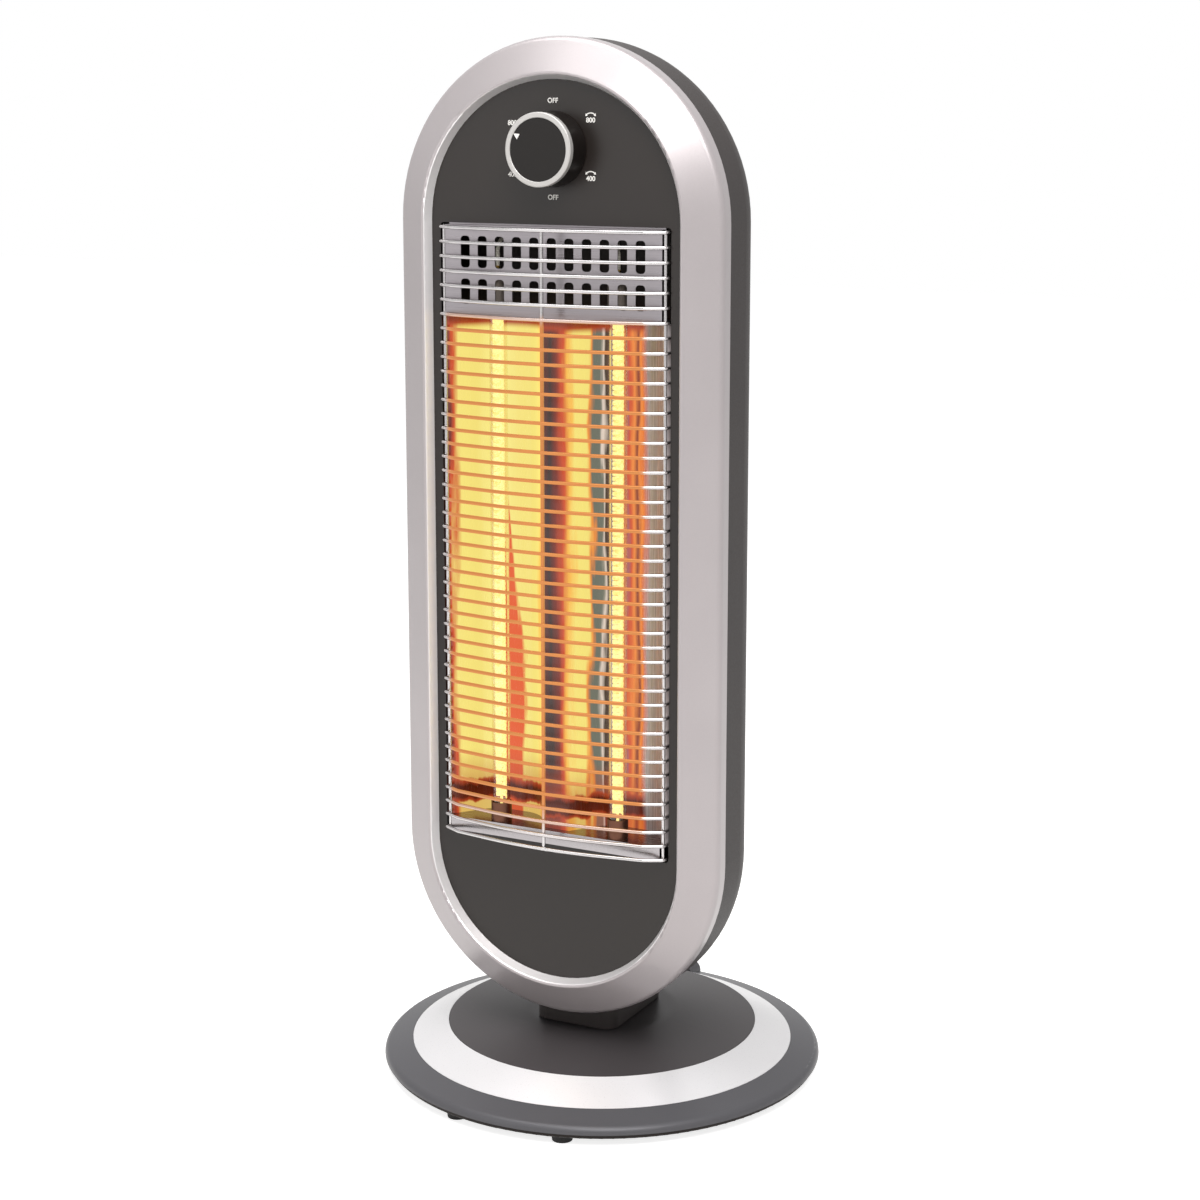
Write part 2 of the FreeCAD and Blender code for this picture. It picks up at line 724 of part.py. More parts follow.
def make_guard_grille():
    """Bowed chrome wires with sloping shoulders and bent-back feet, welded to three upright wires."""
    guard = new_body("guard")
    lowest = f"{MIDDLE} - wire_pitch * (wire_count - 1) / 2"
    shoulder = f"{FASCIA_FRONT} - guard_reach"
    half = [
        ("guard_shoulder_half", shoulder, "guard_shoulder_round"),
        ("guard_half_width", f"{FASCIA_FRONT} - guard_foot", "guard_foot_round"),
        ("guard_half_width", FASCIA_BACK),
    ]
    crown = [("0", f"{shoulder} - guard_bow", "guard_bow_round")]
    path = new_sketch(guard, "XY_Plane", "wire_path", lowest)
    draw_outline(path, mirrored(half) + crown + half, closed=False)
    section = new_sketch(guard, "XZ_Plane", "wire_section", "ridge_reach - fascia_sink - fascia_thickness")
    draw_circle(section, "-guard_half_width", lowest, "wire_radius")
    doc.recompute()
    wire = guard.newObject("PartDesign::AdditivePipe", "bowed_wire")
    wire.Profile = section
    wire.Spine = (path, [f"Edge{number + 1}" for number in range(len(path.Shape.Edges))])
    doc.recompute()
    row_of(guard, wire, section, "V_Axis", "wire_pitch * (wire_count - 1)", "wire_count")
    uprights = new_sketch(guard, "XY_Plane", "upright_wires", f"{lowest} - wire_radius")
    bow_gap = "guard_bow_round * (1 / cos(atan(guard_bow / guard_shoulder_half)) - 1)"
    behind = "(2 * wire_radius - weld_depth)"
    draw_circle(uprights, "0", f"{shoulder} - guard_bow + {bow_gap} + {behind}", "wire_radius")
    for side in ("-1", "1"):
        draw_circle(uprights, f"{side} * (guard_half_width - {behind})", f"{FASCIA_FRONT} - upright_forward",
                    "wire_radius")
    pad(guard, uprights, "wire_pitch * (wire_count - 1) + 2 * wire_radius")
    keep(guard, "guard_grille")


def make_reflector():
    """One folded sheet: two troughs with rounded knees and a flat ridge between them."""
    sheet_body = new_body("folded_reflector")
    front = [("reflector_flange", FASCIA_BACK)]
    half_profile = [("trough_half", "0"), ("knee_half", "knee_depth"), ("floor_half", "floor_depth")]
    for half, depth in half_profile:
        front.append((f"tube_offset + {half}", f"{FASCIA_BACK} + {depth}"))
    for half, depth in reversed(half_profile):
        front.append((f"tube_offset - {half}", f"{FASCIA_BACK} + {depth}"))
    rounded = [corner + ("trough_round",) if 2 <= place_in_row <= 5 else corner
               for place_in_row, corner in enumerate(front)]
    back = [(corner[0], f"{corner[1]} + sheet_thickness") + tuple(corner[2:]) for corner in rounded]
    outline = rounded + mirrored(rounded) + list(reversed(mirrored(back))) + list(reversed(back))
    folded = new_sketch(sheet_body, "XY_Plane", "reflector_fold", SILL_TOP)
    draw_outline(folded, outline)
    pad(sheet_body, folded, CELL_HEIGHT)
    keep(sheet_body, "reflector")


def tube_holes(body, name, level, radius):
    """Two clearance holes on the tubes' axes through a shelf at a level, cut downwards."""
    holes = new_sketch(body, "XY_Plane", name, level)
    for side in ("-1", "1"):
        draw_circle(holes, f"{side} * tube_offset", TUBE_Y, f"{radius} + shelf_hole_gap")
    pocket(body, holes, "sheet_thickness * 2")


def make_vent_plate():
    """Folded plate: lip behind the fascia, slotted front and a shelf back to the reflector."""
    plate = new_body("folded_vent")
    profile = new_sketch(plate, "YZ_Plane", "vent_fold")
    inner = f"{PLATE_FRONT} + sheet_thickness"
    draw_outline(profile, [
        (FASCIA_BACK, f"{VENT_TOP} + fold_lip"),
        (FASCIA_BACK, VENT_TOP),
        (PLATE_FRONT, VENT_TOP),
        (PLATE_FRONT, VENT_SHELF),
        (TROUGH_BACK, VENT_SHELF),
        (TROUGH_BACK, f"{VENT_SHELF} + sheet_thickness"),
        (inner, f"{VENT_SHELF} + sheet_thickness"),
        (inner, f"{VENT_TOP} - sheet_thickness"),
        (f"{FASCIA_BACK} + sheet_thickness", f"{VENT_TOP} - sheet_thickness"),
        (f"{FASCIA_BACK} + sheet_thickness", f"{VENT_TOP} + fold_lip"),
    ])
    pad(plate, profile, "plate_half_width * 2", both=True)
    upper_top = f"{VENT_TOP} - slot_top_margin"
    lower_top = f"{upper_top} - upper_slot_height - slot_row_gap"
    first = "-slot_pitch * (slot_count - 1) / 2"
    for name, top, height in (("upper", upper_top, "upper_slot_height"),
                              ("lower", lower_top, "lower_slot_height")):
        slot = new_sketch(plate, "XZ_Plane", f"{name}_slot", f"-{PLATE_FRONT}")
        draw_outline(slot, rounded_box(f"{first} - slot_width / 2", f"{first} + slot_width / 2",
                                       f"{top} - {height}", top, "slot_round"))
        opening = pocket(plate, slot, "sheet_thickness * 2")
        row_of(plate, opening, slot, "H_Axis", "slot_pitch * (slot_count - 1)", "slot_count")
    tube_holes(plate, "vent_tube_holes", f"{VENT_SHELF} + sheet_thickness * 1.5", "tube_radius")
    keep(plate, "vent_plate")


def make_sill_plate():
    """Folded plate below the tubes: lip behind the fascia, bright front and a floor to the reflector."""
    plate = new_body("folded_sill")
    profile = new_sketch(plate, "YZ_Plane", "sill_fold")
    inner = f"{PLATE_FRONT} + sheet_thickness"
    draw_outline(profile, [
        (FASCIA_BACK, f"{SILL_BOTTOM} - fold_lip"),
        (f"{FASCIA_BACK} + sheet_thickness", f"{SILL_BOTTOM} - fold_lip"),
        (f"{FASCIA_BACK} + sheet_thickness", f"{SILL_BOTTOM} + sheet_thickness"),
        (inner, f"{SILL_BOTTOM} + sheet_thickness"),
        (inner, f"{SILL_TOP} - sheet_thickness"),
        (TROUGH_BACK, f"{SILL_TOP} - sheet_thickness"),
        (TROUGH_BACK, SILL_TOP),
        (PLATE_FRONT, SILL_TOP),
        (PLATE_FRONT, SILL_BOTTOM),
        (FASCIA_BACK, SILL_BOTTOM),
    ])
    pad(plate, profile, "plate_half_width * 2", both=True)
    tube_holes(plate, "sill_stud_holes", f"{SILL_TOP} + sheet_thickness / 2", "terminal_radius")
    keep(plate, "sill_plate")


def make_heat_shield():
    """A channel behind the reflector and the vent plate, on the reflector's flanges."""
    shield = new_body("shield_channel")
    front = f"{FASCIA_BACK} + sheet_thickness"
    back = f"{FASCIA_BACK} + shield_depth"
    half = [
        ("reflector_flange", front),
        ("shield_half_width", front),
        ("shield_half_width", f"{back} - sheet_thickness"),
    ]
    outer = [
        ("shield_half_width + sheet_thickness", back),
        ("shield_half_width + sheet_thickness", f"{front} + sheet_thickness"),
        ("reflector_flange", f"{front} + sheet_thickness"),
    ]
    channel = new_sketch(shield, "XY_Plane", "shield_fold", SILL_TOP)
    draw_outline(channel, half + mirrored(half) + mirrored(outer) + outer)
    pad(shield, channel, f"{VENT_TOP} - {SILL_TOP}")
    keep(shield, "heat_shield")


def make_tubes():
    """Quartz tubes, each with a carbon filament, between ceramic caps on the sill and on the vent shelf."""
    high_cap = f"({VENT_SHELF} + sheet_thickness)"
    tube_bottom = f"({SILL_TOP} + cap_end)"
    tube_top = f"({high_cap} + upper_cap_length - cap_end)"
    rope_bottom = f"({SILL_TOP} + lower_cap_length)"
    caps = {"upper": [], "lower": []}
    terminals = []
    for side, sign in (("left", "-1"), ("right", "1")):
        x = f"{sign} * tube_offset"
        length = f"{tube_top} - {tube_bottom}"
        spot = (x, TUBE_Y, tube_bottom)
        outer = cylinder(f"{side}_tube_outer", "tube_radius", length, spot)
        inner = cylinder(f"{side}_tube_inner", "tube_radius - tube_wall", length, spot)
        keep(cut(f"{side}_tube", outer, inner), f"quartz_tube_{side}")
        rod = cylinder(f"{side}_lead_rod", "lead_rod_radius", length, spot)
        rope = cylinder(f"{side}_rope", "filament_radius", f"{VENT_SHELF} - filament_inset - {rope_bottom}",
                        (x, TUBE_Y, rope_bottom))
        keep(joined(f"{side}_filament", [rod, rope]), f"carbon_filament_{side}")
        for level, bottom, bore, stud in (
                ("upper", high_cap, high_cap, f"{high_cap} + upper_cap_length"),
                ("lower", SILL_TOP, tube_bottom, f"{SILL_TOP} - terminal_length")):
            cap_length = f"{level}_cap_length"
            cap = cylinder(f"{side}_{level}_cap", CAP_RADIUS, cap_length, (x, TUBE_Y, bottom))
            seat = cylinder(f"{side}_{level}_seat", "tube_radius", f"{cap_length} - cap_end",
                            (x, TUBE_Y, bore))
            caps[level].append(cut(f"{side}_{level}_cup", cap, seat))
            terminals.append(cylinder(f"{side}_{level}_terminal", "terminal_radius", "terminal_length",
                                      (x, TUBE_Y, stud)))
    keep(group("upper_caps", caps["upper"]), "tube_caps_upper")
    keep(group("lower_caps", caps["lower"]), "tube_caps_lower")
    keep(group("terminal_set", terminals), "tube_terminals")


def lead(spots):
    """A round insulated lead along straight runs joined by tangent arcs."""
    radius = size("lead_radius")
    edges = []
    start = spots[0]
    for before, corner, after in zip(spots, spots[1:], spots[2:]):
        arriving = (corner - before).normalize()
        leaving = (after - corner).normalize()
        half_turn = arriving.getAngle(leaving) / 2
        reach = BEND_SHARE * min((corner - before).Length, (after - corner).Length)
        bend = reach / math.tan(half_turn)
        first = corner - arriving * reach
        last = corner + leaving * reach
        inward = (leaving - arriving).normalize()
        middle = corner + inward * (bend / math.cos(half_turn) - bend)
        edges.append(Part.LineSegment(start, first).toShape())
        edges.append(Part.Arc(first, middle, last).toShape())
        start = last
    edges.append(Part.LineSegment(start, spots[-1]).toShape())
    path = Part.Wire(edges)
    rim = Part.Wire([Part.makeCircle(radius, spots[0], spots[1] - spots[0])])
    return path.makePipeShell([rim], True, False)


def slack_path(start, start_run, end, end_run, slack):
    """Corners of a lead that leaves both ends straight and hangs to one side halfway."""
    first = start + start_run
    last = end + end_run
    return [start, first, (first + last) / 2 + slack, last, end]


def make_leads():
    """Leads from the tube ends to the switch and down through the hollow post."""
    tube_x = size("tube_offset")
    tube_y = size(TUBE_Y)
    high = size(f"{VENT_SHELF} + sheet_thickness + upper_cap_length + terminal_length")
    low = size(f"{SILL_TOP} - terminal_length")
    tab_x = size("tab_spread")
    tab_y = size(f"{FASCIA_BACK} + switch_depth + tab_length / 2")
    tab_z = size(DIAL_HEIGHT)
    post_x = size("post_bore / 2")
    post_end = size("post_top - post_lead_depth")
    run = Vector(0, 0, size("lead_run"))
    climb = Vector(0, 0, size("post_lead_depth + post_lead_rise"))
    slack = size("lead_slack")
    upper = []
    lower = []
    for side in (-1, 1):
        high_stud = Vector(side * tube_x, tube_y, high)
        low_stud = Vector(side * tube_x, tube_y, low)
        tab = Vector(side * tab_x, tab_y, tab_z)
        end = Vector(side * post_x, 0, post_end)
        upper.append(lead(slack_path(high_stud, run, tab, -run, Vector(0, slack, 0))))
        lower.append(lead(slack_path(low_stud, -run, end, climb, Vector(0, 0, slack))))
    for name, pieces in (("upper_leads", upper), ("lower_leads", lower)):
        thing = doc.addObject("Part::Feature", name)
        thing.Shape = Part.Compound(pieces)
        keep(thing, name)


def make_switch():
    bottom = f"{DIAL_HEIGHT} - switch_width / 2"
    pieces = [block("switch_case", ("switch_width", "switch_depth", "switch_width"),
                    ("-switch_width / 2", FASCIA_BACK, bottom))]
    bush_front = f"{FASCIA_FRONT} - switch_bush_length"
    pieces.append(cylinder("switch_bush", "switch_bush_radius", "switch_bush_length + fascia_thickness",
                           ("0", bush_front, DIAL_HEIGHT), "Y"))
    for number, sign in enumerate(("-1", "0", "1")):
        pieces.append(block(f"switch_tab_{number}", ("tab_width", "tab_length", "sheet_thickness"),
                            (f"{sign} * tab_spread - tab_width / 2", f"{FASCIA_BACK} + switch_depth",
                             DIAL_HEIGHT)))
    bore_length = "switch_bush_length + fascia_thickness + shaft_insertion"
    bore = cylinder("switch_bore", "shaft_radius + shaft_clearance", bore_length,
                    ("0", bush_front, DIAL_HEIGHT), "Y")
    keep(cut("switch_bored", joined("switch_body", pieces), bore), "rotary_switch")

    nut = new_body("hexagon_nut")
    outline = new_sketch(nut, "XZ_Plane", "nut_outline", "ridge_reach - fascia_sink")
    draw_outline(outline, [(f"nut_width / 2 / cos(30) * cos({turn})",
                            f"{DIAL_HEIGHT} + nut_width / 2 / cos(30) * sin({turn})")
                           for turn in range(0, 360, 60)])
    draw_circle(outline, "0", DIAL_HEIGHT, "switch_bush_radius")
    pad(nut, outline, "nut_thickness")
    keep(nut, "switch_nut")


def make_knob():
    rear = f"{FASCIA_FRONT} - knob_gap"
    face = f"{KNOB_FRONT} + knob_ring_depth + knob_wall"
    ring_inner = "knob_front_radius - knob_ring_width"
    hub_end = f"{FASCIA_FRONT} - switch_bush_length - knob_gap"
    cap = new_body("knob_cap")
    section = new_sketch(cap, "XY_Plane", "knob_section", DIAL_HEIGHT)
    draw_outline(section, [
        ("0", KNOB_FRONT),
        (ring_inner, KNOB_FRONT),
        (ring_inner, f"{KNOB_FRONT} + knob_ring_depth"),
        ("knob_front_radius", f"{KNOB_FRONT} + knob_ring_depth"),
        ("knob_radius", rear),
        ("knob_radius - knob_wall", rear),
        ("knob_front_radius - knob_wall", face),
        ("knob_hub_radius", face),
        ("knob_hub_radius", hub_end),
        ("shaft_radius", hub_end),
        ("shaft_radius", face),
        ("0", face),
    ])
    revolve(cap, section)
    keep(cap, "knob")

    band = new_body("knob_band")
    band_section = new_sketch(band, "XY_Plane", "band_section", DIAL_HEIGHT)
    proud = f"{KNOB_FRONT} - knob_ring_proud"
    draw_outline(band_section, [
        (ring_inner, proud, "knob_ring_round / 2"),
        ("knob_front_radius", proud, "knob_ring_round"),
        ("knob_front_radius", f"{KNOB_FRONT} + knob_ring_depth"),
        (ring_inner, f"{KNOB_FRONT} + knob_ring_depth"),
    ])
    revolve(band, band_section)
    keep(band, "knob_ring")

    pointer = new_body("pointer_wedge")
    mark = new_sketch(pointer, "XZ_Plane", "pointer_outline", f"-{KNOB_FRONT}")
    corners = []
    for radius, offset in ((ring_inner, "0"), (f"{ring_inner} - pointer_length", "pointer_half_width"),
                           (f"{ring_inner} - pointer_length", "-pointer_half_width")):
        corners.append((f"({radius}) * cos(pointer_angle) - ({offset}) * sin(pointer_angle)",
                        f"{DIAL_HEIGHT} + ({radius}) * sin(pointer_angle) + ({offset}) * cos(pointer_angle)"))
    draw_outline(mark, corners)
    pad(pointer, mark, "pointer_height")
    keep(pointer, "knob_pointer")

    shaft_end = f"{FASCIA_BACK} + shaft_insertion - shaft_end_gap"
    keep(cylinder("shaft_rod", "shaft_radius", f"{shaft_end} - ({face})", ("0", face, DIAL_HEIGHT), "Y"),
         "switch_shaft")


def make_thermal_cutout():
    height = f"{VENT_SHELF} - cutout_drop"
    can = cylinder("cutout_can", "cutout_radius", "cutout_length", ("tube_offset", TROUGH_BACK, height), "Y")
    ears = block("cutout_ears", ("cutout_ear * 2", "sheet_thickness", "cutout_radius"),
                 ("tube_offset - cutout_ear", TROUGH_BACK, f"{height} - cutout_radius / 2"))
    keep(joined("cutout", [can, ears]), "thermal_cutout")


def make_base_pan():
    pan = new_body("pan_dish")
    section = new_sketch(pan, "XZ_Plane", "pan_section")
    draw_outline(section, [
        ("0", "foot_height"),
        (PAN_RADIUS, "foot_height", "pan_thickness / 2"),
        (PAN_RADIUS, RIM_BOTTOM),
        (f"{PAN_RADIUS} - pan_wall", RIM_BOTTOM),
        (f"{PAN_RADIUS} - pan_wall", PAN_TOP),
        ("0", PAN_TOP),
    ])
    revolve(pan, section)
    holes = new_sketch(pan, "XY_Plane", "pan_holes")
    draw_circle(holes, "tip_x", "tip_y", "plunger_radius + plunger_gap")
    for x, y in BASE_SCREWS:
        draw_circle(holes, x, y, "screw_radius + screw_hole_gap")
    for x, y in MOTOR_SCREWS:
        draw_circle(holes, x, y, "screw_radius")
    pocket(pan, holes, "foot_height + pan_thickness * 2", reverse=True)
    keep(pan, "base_pan")


def make_base_cover():
    cover = new_body("cover_shell")
    section = new_sketch(cover, "XZ_Plane", "cover_section")
    recess = "ring_inner_height - ring_thickness"
    outer_recess = "ring_outer_height - ring_thickness"
    draw_outline(section, [
        (BUSH_OUTER, BOSS_BOTTOM),
        (f"{BUSH_OUTER} + boss_wall", BOSS_BOTTOM),
        (f"{BUSH_OUTER} + boss_wall", "plateau_height - cover_wall"),
        ("plateau_radius", "plateau_height - cover_wall"),
        (f"{RING_INNER} - cover_wall", f"{recess} - recess_wall"),
        (f"{RING_OUTER} - cover_wall", f"{outer_recess} - recess_wall"),
        ("base_radius - rim_wall", f"{RIM_TOP} - skirt_wall"),
        ("base_radius - rim_wall", RIM_BOTTOM),
        ("base_radius", RIM_BOTTOM),
        ("base_radius", RIM_TOP, "rim_round"),
        (RING_OUTER, "ring_outer_height"),
        (RING_OUTER, outer_recess),
        (RING_INNER, recess),
        (RING_INNER, "ring_inner_height"),
        ("plateau_radius", "plateau_height", "plateau_round"),
        (BUSH_OUTER, "plateau_height"),
    ])
    revolve(cover, section)

    towers = new_sketch(cover, "XY_Plane", "tower_outlines", PAN_TOP)
    slope = f"(plateau_height - ring_inner_height) / ({RING_INNER} - plateau_radius)"
    tower_top = f"plateau_height - {slope} * ({TOWER_CIRCLE} - plateau_radius) - cover_wall / 2"
    for x, y in BASE_SCREWS:
        draw_circle(towers, x, y, "tower_radius")
    pad(cover, towers, f"{tower_top} - {PAN_TOP}")
    pilots = new_sketch(cover, "XY_Plane", "tower_pilots", PAN_TOP)
    for x, y in BASE_SCREWS:
        draw_circle(pilots, x, y, "screw_radius")
    pocket(cover, pilots, "base_screw_bite", reverse=True)

    hood = new_sketch(cover, "XZ_Plane", "hood_outline", f"-{GLAND_SEAT}")
    half = "gland_radius + hood_wall"
    crown = f"gland_height + {half}"
    draw_outline(hood, [
        (f"-({half})", RIM_BOTTOM),
        (half, RIM_BOTTOM),
        (half, crown, f"({half}) * {NEAR_ROUND}"),
        (f"-({half})", crown, f"({half}) * {NEAR_ROUND}"),
    ])
    pad(cover, hood, "hood_length")
    passage = new_sketch(cover, "XZ_Plane", "gland_passage", f"-{GLAND_SEAT}")
    draw_circle(passage, "0", "gland_height", "gland_radius")
    pocket(cover, passage, "hood_length + cover_wall * 2", reverse=True)
    seat = new_sketch(cover, "XZ_Plane", "gland_seat", f"-{GLAND_SEAT}")
    draw_circle(seat, "0", "gland_height", "gland_flange_radius + ring_gap")
    pocket(cover, seat, "gland_inset * 2")
    keep(cover, "base_cover")


def make_base_fittings():
    ring = new_body("trim_ring")
    section = new_sketch(ring, "XZ_Plane", "trim_section")
    drop = "ring_gap * (ring_inner_height - ring_outer_height) / ring_width"
    high = f"ring_inner_height - {drop}"
    low = f"ring_outer_height + {drop}"
    draw_outline(section, [
        (f"{RING_INNER} + ring_gap", f"{high} - ring_thickness"),
        (f"{RING_OUTER} - ring_gap", f"{low} - ring_thickness"),
        (f"{RING_OUTER} - ring_gap", low),
        (f"{RING_INNER} + ring_gap", high),
    ])
    revolve(ring, section)
    keep(ring, "base_trim_ring")

    outer = cylinder("weight_disc", WEIGHT_OUTER, "weight_thickness", ("0", "0", PAN_TOP))
    inner = cylinder("weight_hole", f"{WEIGHT_OUTER} - weight_width", "weight_thickness", ("0", "0", PAN_TOP))
    keep(cut("weight_ring", outer, inner), "base_weight")

    feet = []
    for side, sign in (("left", "-1"), ("right", "1")):
        for number, (x, y) in enumerate(circle_of(FOOT_CIRCLE, "foot_pairs", f"{sign} * foot_half_angle")):
            foot = doc.addObject("Part::Cone", f"{side}_foot_{number}")
            bind(foot, "Radius1", "foot_radius - foot_taper")
            bind(foot, "Radius2", "foot_radius")
            bind(foot, "Height", "foot_height")
            feet.append(place(foot, (x, y, "0")))
    keep(group("foot_set", feet), "base_feet")

    screws = [screw(f"base_screw_{number}", (x, y, "foot_height"), "Z", "-", "base_screw_bite",
                    "pan_thickness")
              for number, (x, y) in enumerate(BASE_SCREWS)]
    keep(group("base_screw_set", screws), "base_screws")

    flange = cylinder("gland_flange", "gland_flange_radius", "gland_flange_thickness",
                      ("0", GLAND_SEAT, "gland_height"), "Y")
    sleeve = cylinder("gland_sleeve", "gland_radius", "hood_length",
                      ("0", f"{GLAND_SEAT} - hood_length", "gland_height"), "Y")
    bore = cylinder("gland_hole", "gland_bore", "hood_length + gland_flange_thickness",
                    ("0", f"{GLAND_SEAT} - hood_length", "gland_height"), "Y")
    keep(cut("gland", joined("gland_solid", [flange, sleeve]), bore), "cord_gland")


def make_pivot():
    bush = new_body("flanged_bush")
    section = new_sketch(bush, "XZ_Plane", "bush_section")
    bore = "post_radius + bush_clearance"
    draw_outline(section, [
        (bore, BOSS_BOTTOM),
        (BUSH_OUTER, BOSS_BOTTOM),
        (BUSH_OUTER, "plateau_height"),
        ("bush_flange_radius", "plateau_height"),
        ("bush_flange_radius", "plateau_height + bush_flange_thickness"),
        (bore, "plateau_height + bush_flange_thickness"),
    ])
    revolve(bush, section)
    keep(bush, "pivot_bush")

    post = new_body("hollow_post")
    turned = new_sketch(post, "XZ_Plane", "post_section")
    collar_top = f"{COLLAR_BOTTOM} + collar_thickness"
    flange_bottom = "post_top - post_flange_thickness"
    draw_outline(turned, [
        ("post_bore", f"{ARM_BOTTOM} - post_tail"),
        ("post_radius", f"{ARM_BOTTOM} - post_tail"),
        ("post_radius", COLLAR_BOTTOM),
        ("collar_radius", COLLAR_BOTTOM),
        ("collar_radius", collar_top),
        ("post_radius", collar_top),
        ("post_radius", flange_bottom),
        ("post_flange_radius", flange_bottom),
        ("post_flange_radius", "post_top"),
        ("post_bore", "post_top"),
    ])
    revolve(post, turned)
    holes = new_sketch(post, "XY_Plane", "flange_holes", "post_top")
    for x, y in POST_SCREWS:
        draw_circle(holes, x, y, "screw_radius")
    pocket(post, holes, "post_flange_thickness")
    keep(post, "pivot_tube")

    clip_spot = ("0", "0", ARM_TOP)
    clip = cylinder("clip_disc", "post_radius + ring_clip_width", "ring_clip_thickness", clip_spot)
    hole = cylinder("clip_hole", "post_radius", "ring_clip_thickness", clip_spot)
    keep(cut("clip", clip, hole), "retaining_ring")


def make_swing_arm():
    """Slotted arm clamped to the foot of the post; the crank pin works in its slot."""
    arm = new_body("slotted_arm")
    slot_half = "pin_radius + slot_clearance"
    slot_end = f"motor_offset + crank_throw + {slot_half}"
    tip = f"{slot_end} + arm_end_wall"
    outline = new_sketch(arm, "XY_Plane", "arm_outline", ARM_BOTTOM)
    draw_outline(outline, [
        ("arm_hub_width", "-arm_hub_width", "arm_hub_round"),
        ("arm_tip_width", tip, "arm_tip_round"),
        ("-arm_tip_width", tip, "arm_tip_round"),
        ("-arm_hub_width", "-arm_hub_width", "arm_hub_round"),
    ])
    pad(arm, outline, "arm_thickness")
    openings = new_sketch(arm, "XY_Plane", "arm_openings", ARM_TOP)
    draw_circle(openings, "0", "0", "post_radius")
    slot_start = "motor_offset - slot_run_in + pin_radius"
    draw_outline(openings, rounded_box(f"-({slot_half})", slot_half, slot_start, slot_end,
                                       f"({slot_half}) * {NEAR_ROUND}"))
    pocket(arm, openings, "arm_thickness")
    keep(arm, "swing_arm")


def make_motor():
    spot = ("0", "motor_offset", PAN_TOP)
    can = cylinder("motor_can", "motor_radius", "motor_height", spot)
    lid = cylinder("motor_cover", "motor_radius + motor_lid_lip", "motor_lid",
                   ("0", "motor_offset", f"{MOTOR_TOP} - motor_lid * 2"))
    ears = block("motor_ears", ("(ear_span + ear_width / 2) * 2", "ear_width", "ear_thickness"),
                 ("-(ear_span + ear_width / 2)", "motor_offset - ear_width / 2", PAN_TOP))
    bore = cylinder("motor_bore", "motor_shaft_radius + shaft_clearance", "motor_shaft_depth",
                    ("0", "motor_offset", f"{MOTOR_TOP} - motor_shaft_depth"))
    drills = [cylinder(f"ear_hole_{number}", "screw_radius", "ear_thickness", (x, y, PAN_TOP))
              for number, (x, y) in enumerate(MOTOR_SCREWS)]
    keep(cut("motor", joined("motor_solid", [can, lid, ears]), group("motor_holes", [bore] + drills)),
         "swing_motor")
    top = f"{PAN_TOP} + ear_thickness"
    screws = [screw(f"motor_screw_{number}", (x, y, top), "Z", "+", "pan_thickness", "ear_thickness")
              for number, (x, y) in enumerate(MOTOR_SCREWS)]
    keep(group("motor_screw_set", screws), "motor_screws")

    keep(cylinder("motor_spindle", "motor_shaft_radius",
                  f"{CRANK_TOP} - {MOTOR_TOP} + motor_shaft_depth - running_gap",
                  ("0", "motor_offset", f"{MOTOR_TOP} - motor_shaft_depth + running_gap")), "motor_shaft")

    crank = new_body("crank_link")
    outline = new_sketch(crank, "XY_Plane", "crank_outline", CRANK_BOTTOM)
    draw_outline(outline, rounded_box("-crank_half_width", "crank_half_width",
                                      "motor_offset - crank_half_width",
                                      "motor_offset + crank_throw + crank_half_width",
                                      f"crank_half_width * {NEAR_ROUND}"))
    draw_circle(outline, "0", "motor_offset", "motor_shaft_radius")
    pad(crank, outline, "crank_thickness")
    pin = new_sketch(crank, "XY_Plane", "crank_pin", CRANK_TOP)
    draw_circle(pin, "0", "motor_offset + crank_throw", "pin_radius")
    pad(crank, pin, f"{ARM_TOP} + pin_proud - {CRANK_TOP}")
    keep(crank, "motor_crank")


def make_neck(envelope):
    sleeve = new_body("neck_sleeve")
    outline = new_sketch(sleeve, "XY_Plane", "neck_outline", NECK_BOTTOM)
    draw_outline(outline, rounded_box("-neck_half_width", "neck_half_width", "-neck_front", "neck_back",
                                      "neck_round"))
    draw_outline(outline, rounded_box("neck_wall - neck_half_width", "neck_half_width - neck_wall",
                                      "neck_wall - neck_front", "neck_back - neck_wall",
                                      "neck_round - neck_wall"))
    pad(sleeve, outline, f"neck_top - {NECK_BOTTOM}")
    keep(cut("neck", sleeve, envelope), "neck_cover")


